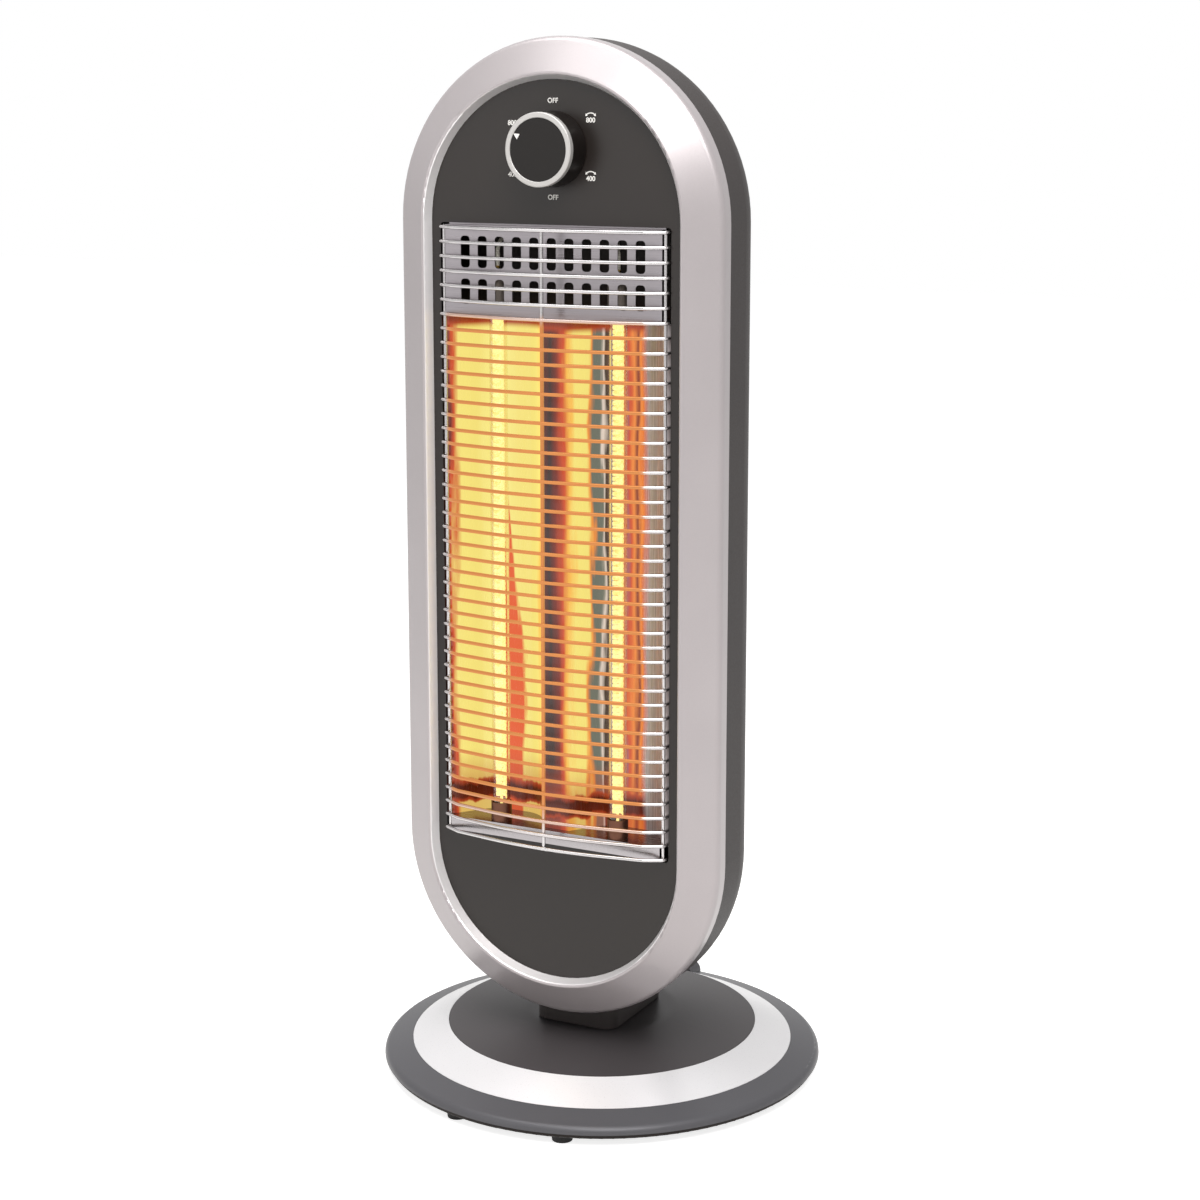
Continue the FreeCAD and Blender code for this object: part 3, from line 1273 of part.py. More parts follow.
def make_head_bracket():
    bracket = new_body("folded_bracket")
    profile = new_sketch(bracket, "YZ_Plane", "bracket_fold")
    top = "post_top + bracket_rise"
    draw_outline(profile, [
        ("-bracket_front", "post_top"),
        ("bracket_back", "post_top"),
        ("bracket_back", top),
        ("bracket_back - bracket_thickness", top),
        ("bracket_back - bracket_thickness", "post_top + bracket_thickness"),
        ("-bracket_front", "post_top + bracket_thickness"),
    ])
    pad(bracket, profile, "bracket_half_width * 2", both=True)
    holes = new_sketch(bracket, "XY_Plane", "plate_holes", "post_top + bracket_thickness")
    draw_circle(holes, "0", "0", "post_bore")
    for x, y in POST_SCREWS:
        draw_circle(holes, x, y, "screw_radius")
    pocket(bracket, holes, "bracket_thickness")
    wall = new_sketch(bracket, "XZ_Plane", "wall_holes", "bracket_thickness - bracket_back")
    for x, z in BRACKET_SCREWS:
        draw_circle(wall, x, z, "screw_radius")
    pocket(bracket, wall, "bracket_thickness")
    keep(bracket, "head_bracket")

    top = "post_top + bracket_thickness"
    screws = [screw(f"post_screw_{number}", (x, y, top), "Z", "+", "post_flange_thickness",
                    "bracket_thickness")
              for number, (x, y) in enumerate(POST_SCREWS)]
    keep(group("post_screw_set", screws), "post_screws")
    front = "bracket_back - bracket_thickness"
    screws = [screw(f"bracket_screw_{number}", (x, front, z), "Y", "-", "bracket_screw_bite",
                    "bracket_thickness")
              for number, (x, z) in enumerate(BRACKET_SCREWS)]
    keep(group("bracket_screw_set", screws), "bracket_screws")


def make_tip_switch():
    """A spring plunger that the floor holds up, in a guide with the switch in its roof."""
    rest_top = f"({PAN_TOP} + running_gap + plunger_travel + plunger_collar_thickness)"
    cavity_top = f"({rest_top} + plunger_overtravel + running_gap)"
    guide = cylinder("tip_guide", "plunger_collar_radius + plunger_gap + tip_wall",
                     f"{cavity_top} + tip_roof - {PAN_TOP}", ("tip_x", "tip_y", PAN_TOP))
    cavity = cylinder("tip_cavity", "plunger_collar_radius + plunger_gap", f"{cavity_top} - {PAN_TOP}",
                      ("tip_x", "tip_y", PAN_TOP))
    keep(cut("tip_housing", guide, cavity), "tip_switch")
    stem = cylinder("plunger_stem", "plunger_radius", rest_top, ("tip_x", "tip_y", "0"))
    collar = cylinder("plunger_collar", "plunger_collar_radius", "plunger_collar_thickness",
                      ("tip_x", "tip_y", f"{rest_top} - plunger_collar_thickness"))
    keep(joined("plunger", [stem, collar]), "tip_plunger")


def make_terminal_block():
    body = block("block_body", ("block_length", "block_width", "block_height"),
                 ("block_x - block_length / 2", "block_y - block_width / 2", PAN_TOP))
    pitch = "block_length / block_ways"
    wells = [cylinder(f"block_well_{number}", "screw_head_radius", "block_height / 2",
                      (f"block_x + ({number} - 1) * {pitch}", "block_y", f"{PAN_TOP} + block_height / 2"))
             for number in range(int(size("block_ways")))]
    keep(cut("block_drilled", body, group("block_wells", wells)), "terminal_block")


def make_all():
    make_base_pan()
    make_base_cover()
    make_base_fittings()
    make_pivot()
    make_motor()
    make_swing_arm()
    make_tip_switch()
    make_terminal_block()
    envelope = make_rear_shell()
    make_neck(envelope)
    make_head_bracket()
    make_case_screws()
    make_front_bezel()
    make_front_fascia()
    make_guard_grille()
    make_reflector()
    make_vent_plate()
    make_sill_plate()
    make_heat_shield()
    make_tubes()
    make_switch()
    make_knob()
    make_thermal_cutout()
    make_leads()


def check_and_write():
    """Stop at any failed object or bad shape; otherwise write one file for each piece."""
    doc.recompute()
    for thing in doc.Objects:
        if "Invalid" in thing.State or "Error" in thing.State:
            raise RuntimeError(f"{thing.Label} failed: {thing.State}")
    for thing in subparts:
        if thing.Shape.isNull() or not thing.Shape.isValid():
            raise RuntimeError(f"{thing.Label} has no valid shape")
    os.makedirs("parts", exist_ok=True)
    for thing in subparts:
        thing.Shape.exportStep(os.path.join("parts", f"{thing.Label}.step"))
        print(f"{thing.Label}: {len(thing.Shape.Solids)} solids, {thing.Shape.Volume / 1000:.2f} cm3")


make_all()
check_and_write()
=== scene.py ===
import math

import bmesh
import bpy
from bpy.props import FloatProperty, FloatVectorProperty, PointerProperty
from mathutils import Matrix, Vector


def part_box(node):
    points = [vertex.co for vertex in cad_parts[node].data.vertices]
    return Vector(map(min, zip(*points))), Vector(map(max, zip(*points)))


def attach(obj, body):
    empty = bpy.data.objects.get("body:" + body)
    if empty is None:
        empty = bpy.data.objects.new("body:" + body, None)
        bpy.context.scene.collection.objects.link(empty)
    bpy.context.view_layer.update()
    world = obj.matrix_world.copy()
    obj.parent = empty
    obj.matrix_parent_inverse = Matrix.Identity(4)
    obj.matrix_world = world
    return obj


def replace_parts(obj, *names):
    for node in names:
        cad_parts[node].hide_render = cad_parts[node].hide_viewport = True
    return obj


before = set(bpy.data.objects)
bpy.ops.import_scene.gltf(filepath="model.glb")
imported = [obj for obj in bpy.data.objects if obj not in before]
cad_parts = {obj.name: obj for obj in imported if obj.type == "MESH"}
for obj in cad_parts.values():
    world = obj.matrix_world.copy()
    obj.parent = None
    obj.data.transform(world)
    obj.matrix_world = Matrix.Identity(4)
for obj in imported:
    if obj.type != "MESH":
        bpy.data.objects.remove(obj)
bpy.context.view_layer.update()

bl_info = {
    "name": "Carbon heater finishes",
    "version": (1, 0, 0),
    "blender": (4, 5, 0),
    "location": "View3D > Sidebar > Carbon heater",
    "description": "Finishes, wound filaments, dial marks and a studio for the carbon heater's solids",
    "category": "Object",
}

MM = 0.001
# Noise spends most of its area between these two values, so tones and gloss run from one to the other.
GRAIN_LOW, GRAIN_HIGH = 0.3, 0.7
# Breadth of the faint changes of tone across a moulded or painted face, in metres.
BLOTCH = 60 * MM
# How much a drawn or rolled line changes along its length, against the change across it.
DRAWN_OUT = 0.02
# Places of a Mix node's two colours and of the colour that it gives.
MIX_FIRST, MIX_SECOND, MIX_RESULT = 6, 7, 2


def linear(code):
    """A colour written as sRGB hex, as the linear values that shaders take."""
    parts = [int(code[i:i + 2], 16) / 255 for i in (1, 3, 5)]
    return tuple(p / 12.92 if p <= 0.04045 else ((p + 0.055) / 1.055) ** 2.4 for p in parts)


def length(name, description, millimetres):
    """A size that a user may change, stored in metres."""
    return FloatProperty(name=name, description=description, default=millimetres * MM,
                         min=0.0, precision=5, unit="LENGTH")


def colour(name, description, code):
    """A colour that a user may change, written as sRGB hex."""
    return FloatVectorProperty(name=name, description=description, default=linear(code),
                               size=3, min=0.0, max=1.0, subtype="COLOR")


class CarbonHeaterSizes(bpy.types.PropertyGroup):
    """Sizes of the pieces made here and of the grains that the finishes show."""
    strip_width: length("Strip width", "Width of the carbon strip along the tube", 2.7)
    strip_thickness: length("Strip thickness", "Thickness of the carbon strip", 0.7)
    coil_radius: length("Coil radius", "Middle radius of the wound strip", 3.1)
    coil_pitch: length("Coil pitch", "Rise of the wound strip in one turn", 3.0)
    coil_inset: length("Coil inset", "Bare lead rod above a coil", 6.0)
    coil_foot: length("Coil foot", "Bare lead rod below a coil", 12.0)
    rod_radius: length("Lead rod radius", "Radius of the rod that carries a coil", 0.9)
    mark_height: length("Mark height", "Height of the dial's letters and numbers", 3.1)
    mark_film: length("Print thickness", "Thickness of the printed ink", 0.12)
    sign_radius: length("Swing sign radius", "Radius of the swing sign's arc", 4.2)
    sign_stroke: length("Swing sign stroke", "Width of the swing sign's line", 0.6)
    mould_grain: length("Mould grain", "Grain of the spark-eroded mould texture", 0.7)
    flake: length("Paint flake", "Flakes in the silver paint, drawn coarser than they are", 0.6)
    brush_line: length("Brush line", "Spacing of the rolled sheet's lines", 0.9)
    ridge_radius: length("Ridge radius", "Distance of the bezel's ridge from the head's middle line", 85.8)
    braid: length("Braid", "Width of one strand in the leads' glass braid", 0.7)


class CarbonHeaterColours(bpy.types.PropertyGroup):
    """Colours of the finishes."""
    silver: colour("Bezel silver", "Silver paint on the bezel", "#a69fa0")
    # Painted highlight: the flank's paler silver stands for the light that this face catches.
    flank: colour("Flank silver", "Silver paint between the bezel's ridge and the fascia", "#eae7e7")
    bright_silver: colour("Bright silver", "Paint on the base ring", "#d8d6d7")
    ring_silver: colour("Ring silver", "Paint on the knob ring", "#b3b0ad")
    shell: colour("Shell", "Dark plastic of the rear shell and neck", "#332e2d")
    base: colour("Base", "Charcoal lacquer on the base", "#464243")
    # Painted sheen: the skirt's paler lacquer stands for the light that the skirt's outward slope catches.
    skirt: colour("Skirt", "Paler lacquer on the base's skirt", "#565558")
    fascia: colour("Fascia", "Black plastic of the fascia", "#1e1815")
    knob: colour("Knob", "Black plastic of the knob", "#15110f")
    ink: colour("Ink", "White ink and pointer", "#ece9e4")
    wire: colour("Plated wire", "Bright plating on the guard", "#b9b6b6")
    # Painted glow: the colour that the wires give off where the tubes' light would fall on them.
    lit_wire: colour("Lit wire", "Light of the tubes on the guard's wires", "#de9257")
    sheet: colour("Aluminium sheet", "Polished sheet of reflector and sill", "#b5b0b2")
    vent: colour("Vent sheet", "Satin sheet of the vent plate", "#8d888b")
    zinc: colour("Zinc", "Zinc coat on the inner steel", "#9a9b9c")
    burnt: colour("Burnt steel", "Heat shield behind the tubes", "#2b2624")
    steel: colour("Steel", "Screws, pivot and shafts", "#8d8c8b")
    quartz: colour("Quartz", "Tint of the tubes", "#fdfaf4")
    carbon: colour("Carbon at heat", "Light of the carbon strip", "#ffe98a")
    ceramic: colour("Ceramic", "Upper tube caps", "#5f5750")
    cap: colour("Browned steel", "Lower tube caps", "#6b4a3c")
    nylon: colour("Nylon", "Natural nylon of bush, crank and plunger", "#d8d3c6")
    rubber: colour("Rubber", "Feet and gland", "#1b1a1a")
    iron: colour("Cast iron", "Base weight", "#45413f")
    brass: colour("Brass", "Tube studs and switch shaft", "#b8964f")
    sleeve: colour("Lead sleeve", "Glass braid on the leads", "#cfcabd")
    phenolic: colour("Phenolic", "Switch and cut-out bodies", "#2b211c")


class CarbonHeaterStage(bpy.types.PropertyGroup):
    """Camera, lamps and floor."""
    camera_spot: FloatVectorProperty(name="Camera place", description="Where the camera stands", size=3,
                                     default=(0.6721, -1.3072, 0.6128), subtype="XYZ", unit="LENGTH")
    camera_turn: FloatProperty(name="Camera turn", description="Turn round the upright axis",
                               default=math.radians(27.26), subtype="ANGLE", unit="ROTATION")
    camera_dip: FloatProperty(name="Camera dip", description="Angle that the camera looks down",
                              default=math.radians(9.91), subtype="ANGLE", unit="ROTATION")
    lens: FloatProperty(name="Lens", description="Focal length in millimetres on a 36 mm wide sensor",
                        default=71.79, min=1.0)
    rise: FloatProperty(name="Lens rise", description="Upright shift of the picture", default=-0.070)
    floor_side: length("Floor side", "Side of the square floor", 12000.0)
    floor_colour: colour("Floor", "Colour of the floor", "#dddcda")
    key_power: FloatProperty(name="Key lamp", description="Power of the lamp above the front",
                             default=36.0, min=0.0, unit="POWER")
    top_power: FloatProperty(name="Top lamp", description="Power of the lamp overhead",
                             default=26.0, min=0.0, unit="POWER")
    front_power: FloatProperty(name="Front lamp", description="Power of the lamp on the left of the front",
                               default=3.0, min=0.0, unit="POWER")
    fill: FloatProperty(name="Room light", description="Strength of the even light of the room",
                        default=0.3, min=0.0)


def add_node(tree, kind, sockets=None, **settings):
    """One shader node; settings are its own options, sockets the values or outputs that its inputs take."""
    made = tree.nodes.new(kind)
    for key, value in settings.items():
        setattr(made, key, value)
    for key, value in (sockets or {}).items():
        if isinstance(value, bpy.types.NodeSocket):
            tree.links.new(value, made.inputs[key])
        else:
            made.inputs[key].default_value = value
    return made


def set_stops(ramp, stops):
    """Puts stops of (place, linear colour) on a colour ramp in place of its own."""
    while len(ramp.elements) > 1:
        ramp.elements.remove(ramp.elements[-1])
    for index, (spot, shade) in enumerate(stops):
        element = ramp.elements[0] if index == 0 else ramp.elements.new(spot)
        element.position = spot
        element.color = (*shade, 1.0)


def new_finish(name, **sockets):
    """A material, its tree, its shader with constant values set, and the place on the piece in metres."""
    material = bpy.data.materials.new(name)
    material.use_nodes = True
    tree = material.node_tree
    shader = tree.nodes["Principled BSDF"]
    for key, value in sockets.items():
        shader.inputs[key.replace("_", " ")].default_value = value
    place = add_node(tree, "ShaderNodeTexCoord").outputs["Object"]
    return material, tree, shader, place


def tint(shade, share):
    """A lighter or darker tone of a linear colour."""
    return tuple(min(1.0, part * share) for part in shade)


def show_grain(tree, shader, tones_by, grain, shade, tone, rough, spread, depth, strength):
    """Lets a grain drive a shader's gloss and relief, and a second value its tone."""
    tones = add_node(tree, "ShaderNodeValToRGB", {"Fac": tones_by})
    set_stops(tones.color_ramp, [(GRAIN_LOW, tint(shade, 1 - tone)), (GRAIN_HIGH, tint(shade, 1 + tone))])
    gloss = add_node(tree, "ShaderNodeMapRange",
                     {"Value": grain, "From Min": GRAIN_LOW, "From Max": GRAIN_HIGH,
                      "To Min": rough - spread, "To Max": rough + spread})
    relief = add_node(tree, "ShaderNodeBump", {"Height": grain, "Distance": depth, "Strength": strength})
    tree.links.new(tones.outputs["Color"], shader.inputs["Base Color"])
    tree.links.new(gloss.outputs["Result"], shader.inputs["Roughness"])
    tree.links.new(relief.outputs["Normal"], shader.inputs["Normal"])


def grained(name, shade, grain, depth, rough, spread=0.08, tone=0.12, **sockets):
    """A finish with an even grain: its size in metres drives tone, gloss and relief together."""
    material, tree, shader, place = new_finish(name, **sockets)
    fine = add_node(tree, "ShaderNodeTexNoise",
                    {"Vector": place, "Scale": 1 / grain, "Detail": 3.0, "Roughness": 0.6})
    broad = add_node(tree, "ShaderNodeTexNoise", {"Vector": place, "Scale": 1 / BLOTCH, "Detail": 2.0})
    both = add_node(tree, "ShaderNodeMath", {0: fine.outputs["Fac"], 1: broad.outputs["Fac"]},
                    operation="ADD")
    mean = add_node(tree, "ShaderNodeMath", {0: both.outputs[0], 1: 0.5}, operation="MULTIPLY")
    show_grain(tree, shader, mean.outputs[0], fine.outputs["Fac"], shade, tone, rough, spread, depth, 1.0)
    return material


def opened(material):
    """A finish's tree, its shader and the place on the piece, for further nodes."""
    tree = material.node_tree
    return tree, tree.nodes["Principled BSDF"], tree.nodes["Texture Coordinate"].outputs["Object"]


def lined(name, shade, spacing, along, rough, spread=0.1, **sockets):
    """A metal with drawn or rolled lines: the grain is stretched along one axis."""
    material, tree, shader, place = new_finish(name, Metallic=1.0, **sockets)
    stretch = [1.0, 1.0, 1.0]
    stretch["XYZ".index(along)] = DRAWN_OUT
    lines = add_node(tree, "ShaderNodeMapping", {"Vector": place, "Scale": stretch})
    grain = add_node(tree, "ShaderNodeTexNoise",
                     {"Vector": lines.outputs["Vector"], "Scale": 1 / spacing, "Detail": 4.0}).outputs["Fac"]
    show_grain(tree, shader, grain, grain, shade, 0.08, rough, spread, 0.004 * MM, 0.6)
    return material, tree, shader, place


def dress(material, *names):
    """Gives CAD nodes one finish."""
    for name in names:
        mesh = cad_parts[name].data
        mesh.materials.clear()
        mesh.materials.append(material)


def new_piece(name, form, material, body):
    """A mesh from a bmesh that rides on a body and takes a slot's finish."""
    mesh = bpy.data.meshes.new(name)
    form.to_mesh(mesh)
    form.free()
    mesh.materials.append(material)
    piece = bpy.data.objects.new(name, mesh)
    bpy.context.scene.collection.objects.link(piece)
    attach(piece, body)
    return piece


def flat_print(form, outline, front, film):
    """Adds a closed outline of (x, z) points to a bmesh as a thin film standing on the plane y = front."""
    face = form.faces.new([form.verts.new((x, front - film, z)) for x, z in outline])
    face.normal_update()
    if face.normal.y > 0:
        face.normal_flip()
    walls = bmesh.ops.extrude_face_region(form, geom=[face])
    moved = [item for item in walls["geom"] if isinstance(item, bmesh.types.BMVert)]
    bmesh.ops.translate(form, verts=moved, vec=(0, film, 0))


class CARBON_HEATER_OT_case(bpy.types.Operator):
    """Finishes of the bezel, fascia, rear shell and neck"""
    bl_idname = "carbon_heater.case"
    bl_label = "Finish the case"

    # Breadth of the soft edge between the bezel's silver and the painted highlight on its flank, in
    # millimetres.
    FLANK_EDGE = 0.5

    def execute(self, context):
        sizes = context.scene.carbon_heater_sizes
        shades = context.scene.carbon_heater_colours
        # Silver lacquer sprayed on moulded ABS: satin, with fine flake and a slight orange peel. On the
        # narrow flank between the ridge and the fascia a painted highlight makes it paler, which draws a
        # bright line round the fascia.
        lacquer = grained("silver_lacquer_on_abs", shades.silver, sizes.flake, 0.006 * MM, 0.36, 0.05, 0.05,
                          Metallic=0.45, Coat_Weight=0.2, Coat_Roughness=0.25)
        tree, shader, place = opened(lacquer)
        low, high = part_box("front_bezel")
        axes = add_node(tree, "ShaderNodeSeparateXYZ", {"Vector": place})
        level = add_node(tree, "ShaderNodeMath", {0: axes.outputs["Z"], 1: (low.z + high.z) / 2},
                         operation="SUBTRACT")
        away = add_node(tree, "ShaderNodeMath", {0: level.outputs[0]}, operation="ABSOLUTE")
        straight = (high.z - low.z - high.x + low.x) / 2
        beyond = add_node(tree, "ShaderNodeMath", {0: away.outputs[0], 1: straight}, operation="SUBTRACT")
        above = add_node(tree, "ShaderNodeMath", {0: beyond.outputs[0], 1: 0.0}, operation="MAXIMUM")
        both = add_node(tree, "ShaderNodeCombineXYZ", {"X": axes.outputs["X"], "Y": above.outputs[0]})
        reach = add_node(tree, "ShaderNodeVectorMath", {0: both.outputs["Vector"]}, operation="LENGTH")
        flank = add_node(tree, "ShaderNodeMapRange",
                         {"Value": reach.outputs["Value"], "From Min": sizes.ridge_radius,
                          "From Max": sizes.ridge_radius - self.FLANK_EDGE * MM})
        # Painted highlight: the flank's paler colour is mixed into the lacquer's own tone.
        plain = shader.inputs["Base Color"].links[0].from_socket
        paler = add_node(tree, "ShaderNodeMix",
                         {"Factor": flank.outputs["Result"], MIX_FIRST: plain,
                          MIX_SECOND: (*shades.flank, 1.0)}, data_type="RGBA")
        tree.links.new(paler.outputs[MIX_RESULT], shader.inputs["Base Color"])
        dress(lacquer, "front_bezel")
        # Black ABS from a satin mould: even dark face with a soft sheen.
        dress(grained("satin_moulded_black_abs", shades.fascia, 1.4 * MM, 0.008 * MM, 0.38, 0.05, 0.06,
                      Specular_IOR_Level=0.38), "front_fascia")
        # Dark grey ABS from a spark-eroded mould: matt, with a fine even grain.
        textured = grained("spark_textured_grey_abs", shades.shell, sizes.mould_grain, 0.03 * MM, 0.5, 0.07,
                           0.1, Specular_IOR_Level=0.2)
        dress(textured, "rear_shell", "neck_cover")
        return {"FINISHED"}


class CARBON_HEATER_OT_guard(bpy.types.Operator):
    """Finish of the wire guard"""
    bl_idname = "carbon_heater.guard"
    bl_label = "Finish the guard"

    # Where the painted glow of the tubes on the wires is nil and where it is full, in millimetres: to the
    # right and left of the heater's middle, and above the reflector's foot and top.
    RIGHT_FADE = (68, 62)
    LEFT_FADE = (-72, -67)
    FOOT_FADE = (-2, 24)
    TOP_FADE = (6, -4)
    # Strength of that painted glow, and the share of its colour that the wire's own surface keeps under it.
    LIGHT = 0.7
    UNDER_LIGHT = 0.22

    def execute(self, context):
        shades = context.scene.carbon_heater_colours
        # Drawn steel wire, welded and chrome plated: bright, with a painted glow of the tubes' light where it
        # stands before them, and its own colour darkened under that glow.
        material, tree, shader, place = lined("chrome_plated_drawn_wire", shades.wire, 0.8 * MM, "X", 0.2,
                                              0.06, Emission_Color=(*shades.lit_wire, 1.0))
        low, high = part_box("reflector")
        axes = add_node(tree, "ShaderNodeSeparateXYZ", {"Vector": place})
        fades = ((axes.outputs["X"], 0.0, self.RIGHT_FADE), (axes.outputs["X"], 0.0, self.LEFT_FADE),
                 (axes.outputs["Z"], low.z, self.FOOT_FADE), (axes.outputs["Z"], high.z, self.TOP_FADE))
        warm = 1.0
        for value, start, (cool, hot) in fades:
            edge = add_node(tree, "ShaderNodeMapRange",
                            {"Value": value, "From Min": start + cool * MM, "From Max": start + hot * MM},
                            interpolation_type="SMOOTHSTEP")
            warm = add_node(tree, "ShaderNodeMath", {0: edge.outputs["Result"], 1: warm},
                            operation="MULTIPLY").outputs[0]
        light = add_node(tree, "ShaderNodeMath", {0: warm, 1: self.LIGHT}, operation="MULTIPLY")
        tree.links.new(light.outputs[0], shader.inputs["Emission Strength"])
        plain = shader.inputs["Base Color"].links[0].from_socket
        dim = add_node(tree, "ShaderNodeMix",
                       {"Factor": warm, MIX_FIRST: plain,
                        MIX_SECOND: (*tint(shades.lit_wire, self.UNDER_LIGHT), 1.0)}, data_type="RGBA")
        tree.links.new(dim.outputs[MIX_RESULT], shader.inputs["Base Color"])
        dress(material, "guard_grille")
        return {"FINISHED"}


class CARBON_HEATER_OT_cell(bpy.types.Operator):
    """Finishes of the reflector, vent plate, sill and heat shield, with the tubes' light painted on the
    reflector
    """
    bl_idname = "carbon_heater.cell"
    bl_label = "Finish the heating cell"

    # Tones of the painted glow and painted shade that stand for the tubes' light reflected in the reflector.
    PAINTED_GLOW = {
        "painted_shade": "#3a302c", "brown": "#5d4640", "garnet": "#7a3024", "ember": "#cd4f27", "flame": "#e25c2a",
        "orange": "#ee8a3c", "amber": "#f6b84e", "yellow": "#f3e07a", "straw": "#f5e684", "smoke": "#6f7265",
        "pearl": "#ead8c8", "plum": "#94646c",
    }
    # Places across the reflector in millimetres from its middle, and the tone of the painted reflection of
    # the tubes' light there.
    BANDS = (
        (-77, "painted_shade"), (-74, "garnet"), (-72.5, "ember"), (-70, "yellow"), (-62, "yellow"), (-57, "straw"),
        (-48, "straw"), (-38, "yellow"), (-24, "yellow"), (-20, "amber"), (-17, "ember"), (-11, "garnet"),
        (-4, "painted_shade"), (1, "garnet"), (5, "ember"), (8, "amber"), (11, "yellow"), (15.5, "yellow"),
        (17, "orange"), (18, "smoke"), (21, "smoke"), (22, "pearl"), (23, "painted_shade"), (25.5, "brown"),
        (27.5, "amber"), (32, "orange"), (35, "plum"), (37, "ember"), (40, "orange"), (43, "garnet"),
        (45, "orange"), (48, "ember"),
    )
    # Half the breadth that the bands are laid out on, in millimetres.
    HALF = 80
    # The bands' wavy edges: a wave's breadth and swing in millimetres, and its rate of change going up.
    WAVE = 9
    SWAY = 5
    UPRIGHT = 0.12
    # A tongue of painted red glow beside the left tube, in millimetres: its left and right edges, each from
    # nil to full, where it starts and stops growing below the reflector's top, and how far the right edge
    # moves.
    TONGUE_LEFT = (-48, -46.5)
    TONGUE_RIGHT = (-45, -46.5)
    TONGUE_DROP = (90, 210)
    TONGUE_GROWTH = (-4, 10)
    # Strength of the painted glow by height over the sill, as shares of the belt's height in millimetres.
    BELT_HEIGHT = 40
    BELT = ((0.0, 0.88), (0.16, 0.88), (0.24, 0.18), (0.42, 0.12), (0.55, 0.85), (1.0, 1.0))
    # Strength of the painted glow at the reflector's top, and where it rises to full below that, in
    # millimetres.
    TOP_SHARE = 0.3
    TOP_FADE = (1, 9)
    # Where the painted glow of the right-hand tube ends and the plain sheet begins, in millimetres.
    LIT_EDGE = (46, 50)
    # Strength under which the bands turn to ember.
    EMBER_BELOW = 0.62
    # Share of the sheet's own tone that is left under the painted glow, and how metallic the plain sheet
    # looks.
    UNDER_LIGHT = 0.08
    PLAIN_METAL = 0.15
    # Tone of the sill against the sheet's.
    SILL_TONE = 0.7

    def execute(self, context):
        sizes = context.scene.carbon_heater_sizes
        shades = context.scene.carbon_heater_colours
        # Rolled and polished aluminium: grey mirror with fine lines along the roll.
        dress(lined("polished_rolled_aluminium", tint(shades.sheet, self.SILL_TONE), sizes.brush_line, "X",
                    0.24, 0.08)[0], "sill_plate")
        # The same sheet left satin: a cooler, duller grey.
        dress(lined("satin_rolled_aluminium", shades.vent, sizes.brush_line, "X", 0.34, 0.08)[0],
              "vent_plate")
        # Zinc-coated steel sheet: matt grey, with the crystals of the coat.
        material, tree, shader, place = new_finish("zinc_coated_steel_sheet", Metallic=0.9)
        spangle = add_node(tree, "ShaderNodeTexVoronoi", {"Vector": place, "Scale": 1 / (6 * MM)})
        tones = add_node(tree, "ShaderNodeValToRGB", {"Fac": spangle.outputs["Color"]})
        set_stops(tones.color_ramp, [(0.1, tint(shades.zinc, 0.8)), (0.9, tint(shades.zinc, 1.15))])
        gloss = add_node(tree, "ShaderNodeMapRange",
                         {"Value": spangle.outputs["Color"], "To Min": 0.35, "To Max": 0.6})
        tree.links.new(tones.outputs["Color"], shader.inputs["Base Color"])
        tree.links.new(gloss.outputs["Result"], shader.inputs["Roughness"])
        dress(material, "head_bracket", "swing_motor")
        # Steel sheet darkened by heat: a dull brown black behind the vent's slots.
        dress(grained("heat_darkened_steel_sheet", shades.burnt, 4 * MM, 0.01 * MM, 0.6, 0.08, 0.2,
                      Metallic=0.4), "heat_shield")
        self.light_reflector(sizes, shades)
        return {"FINISHED"}

    def light_reflector(self, sizes, shades):
        """The reflector's finish, with the tubes' light painted on it as a glow."""
        # The same aluminium by the tubes, with a painted reflection of their light: a glow in upright bands
        # with wavy edges, and painted shade between them.
        material, tree, shader, place = lined("polished_aluminium_lit_by_tubes", shades.sheet,
                                              sizes.brush_line, "Z", 0.26, 0.08)
        low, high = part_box("reflector")
        ember = (*linear(self.PAINTED_GLOW["ember"]), 1.0)
        flame = (*linear(self.PAINTED_GLOW["flame"]), 1.0)
        axes = add_node(tree, "ShaderNodeSeparateXYZ", {"Vector": place})
        upright = add_node(tree, "ShaderNodeMapping", {"Vector": place, "Scale": (1.0, 1.0, self.UPRIGHT)})
        waver = add_node(tree, "ShaderNodeTexNoise",
                         {"Vector": upright.outputs["Vector"], "Scale": 1 / (self.WAVE * MM), "Detail": 3.0})
        sway = add_node(tree, "ShaderNodeMapRange",
                        {"Value": waver.outputs["Fac"], "To Min": -self.SWAY * MM, "To Max": self.SWAY * MM})
        across = add_node(tree, "ShaderNodeMath", {0: axes.outputs["X"], 1: sway.outputs["Result"]},
                          operation="ADD").outputs[0]
        spot = add_node(tree, "ShaderNodeMapRange",
                        {"Value": across, "From Min": -self.HALF * MM, "From Max": self.HALF * MM})
        bands = add_node(tree, "ShaderNodeValToRGB", {"Fac": spot.outputs["Result"]})
        set_stops(bands.color_ramp, [((x + self.HALF) / (2 * self.HALF), linear(self.PAINTED_GLOW[tone]))
                                     for x, tone in self.BANDS])
        start, stop = (high.z - drop * MM for drop in self.TONGUE_DROP)
        growth = add_node(tree, "ShaderNodeMapRange",
                          {"Value": axes.outputs["Z"], "From Min": start, "From Max": stop,
                           "To Min": self.TONGUE_GROWTH[0] * MM, "To Max": self.TONGUE_GROWTH[1] * MM})
        moved = add_node(tree, "ShaderNodeMath", {0: across, 1: growth.outputs["Result"]},
                         operation="SUBTRACT")
        right = add_node(tree, "ShaderNodeMapRange",
                         {"Value": moved.outputs[0], "From Min": self.TONGUE_RIGHT[0] * MM,
                          "From Max": self.TONGUE_RIGHT[1] * MM})
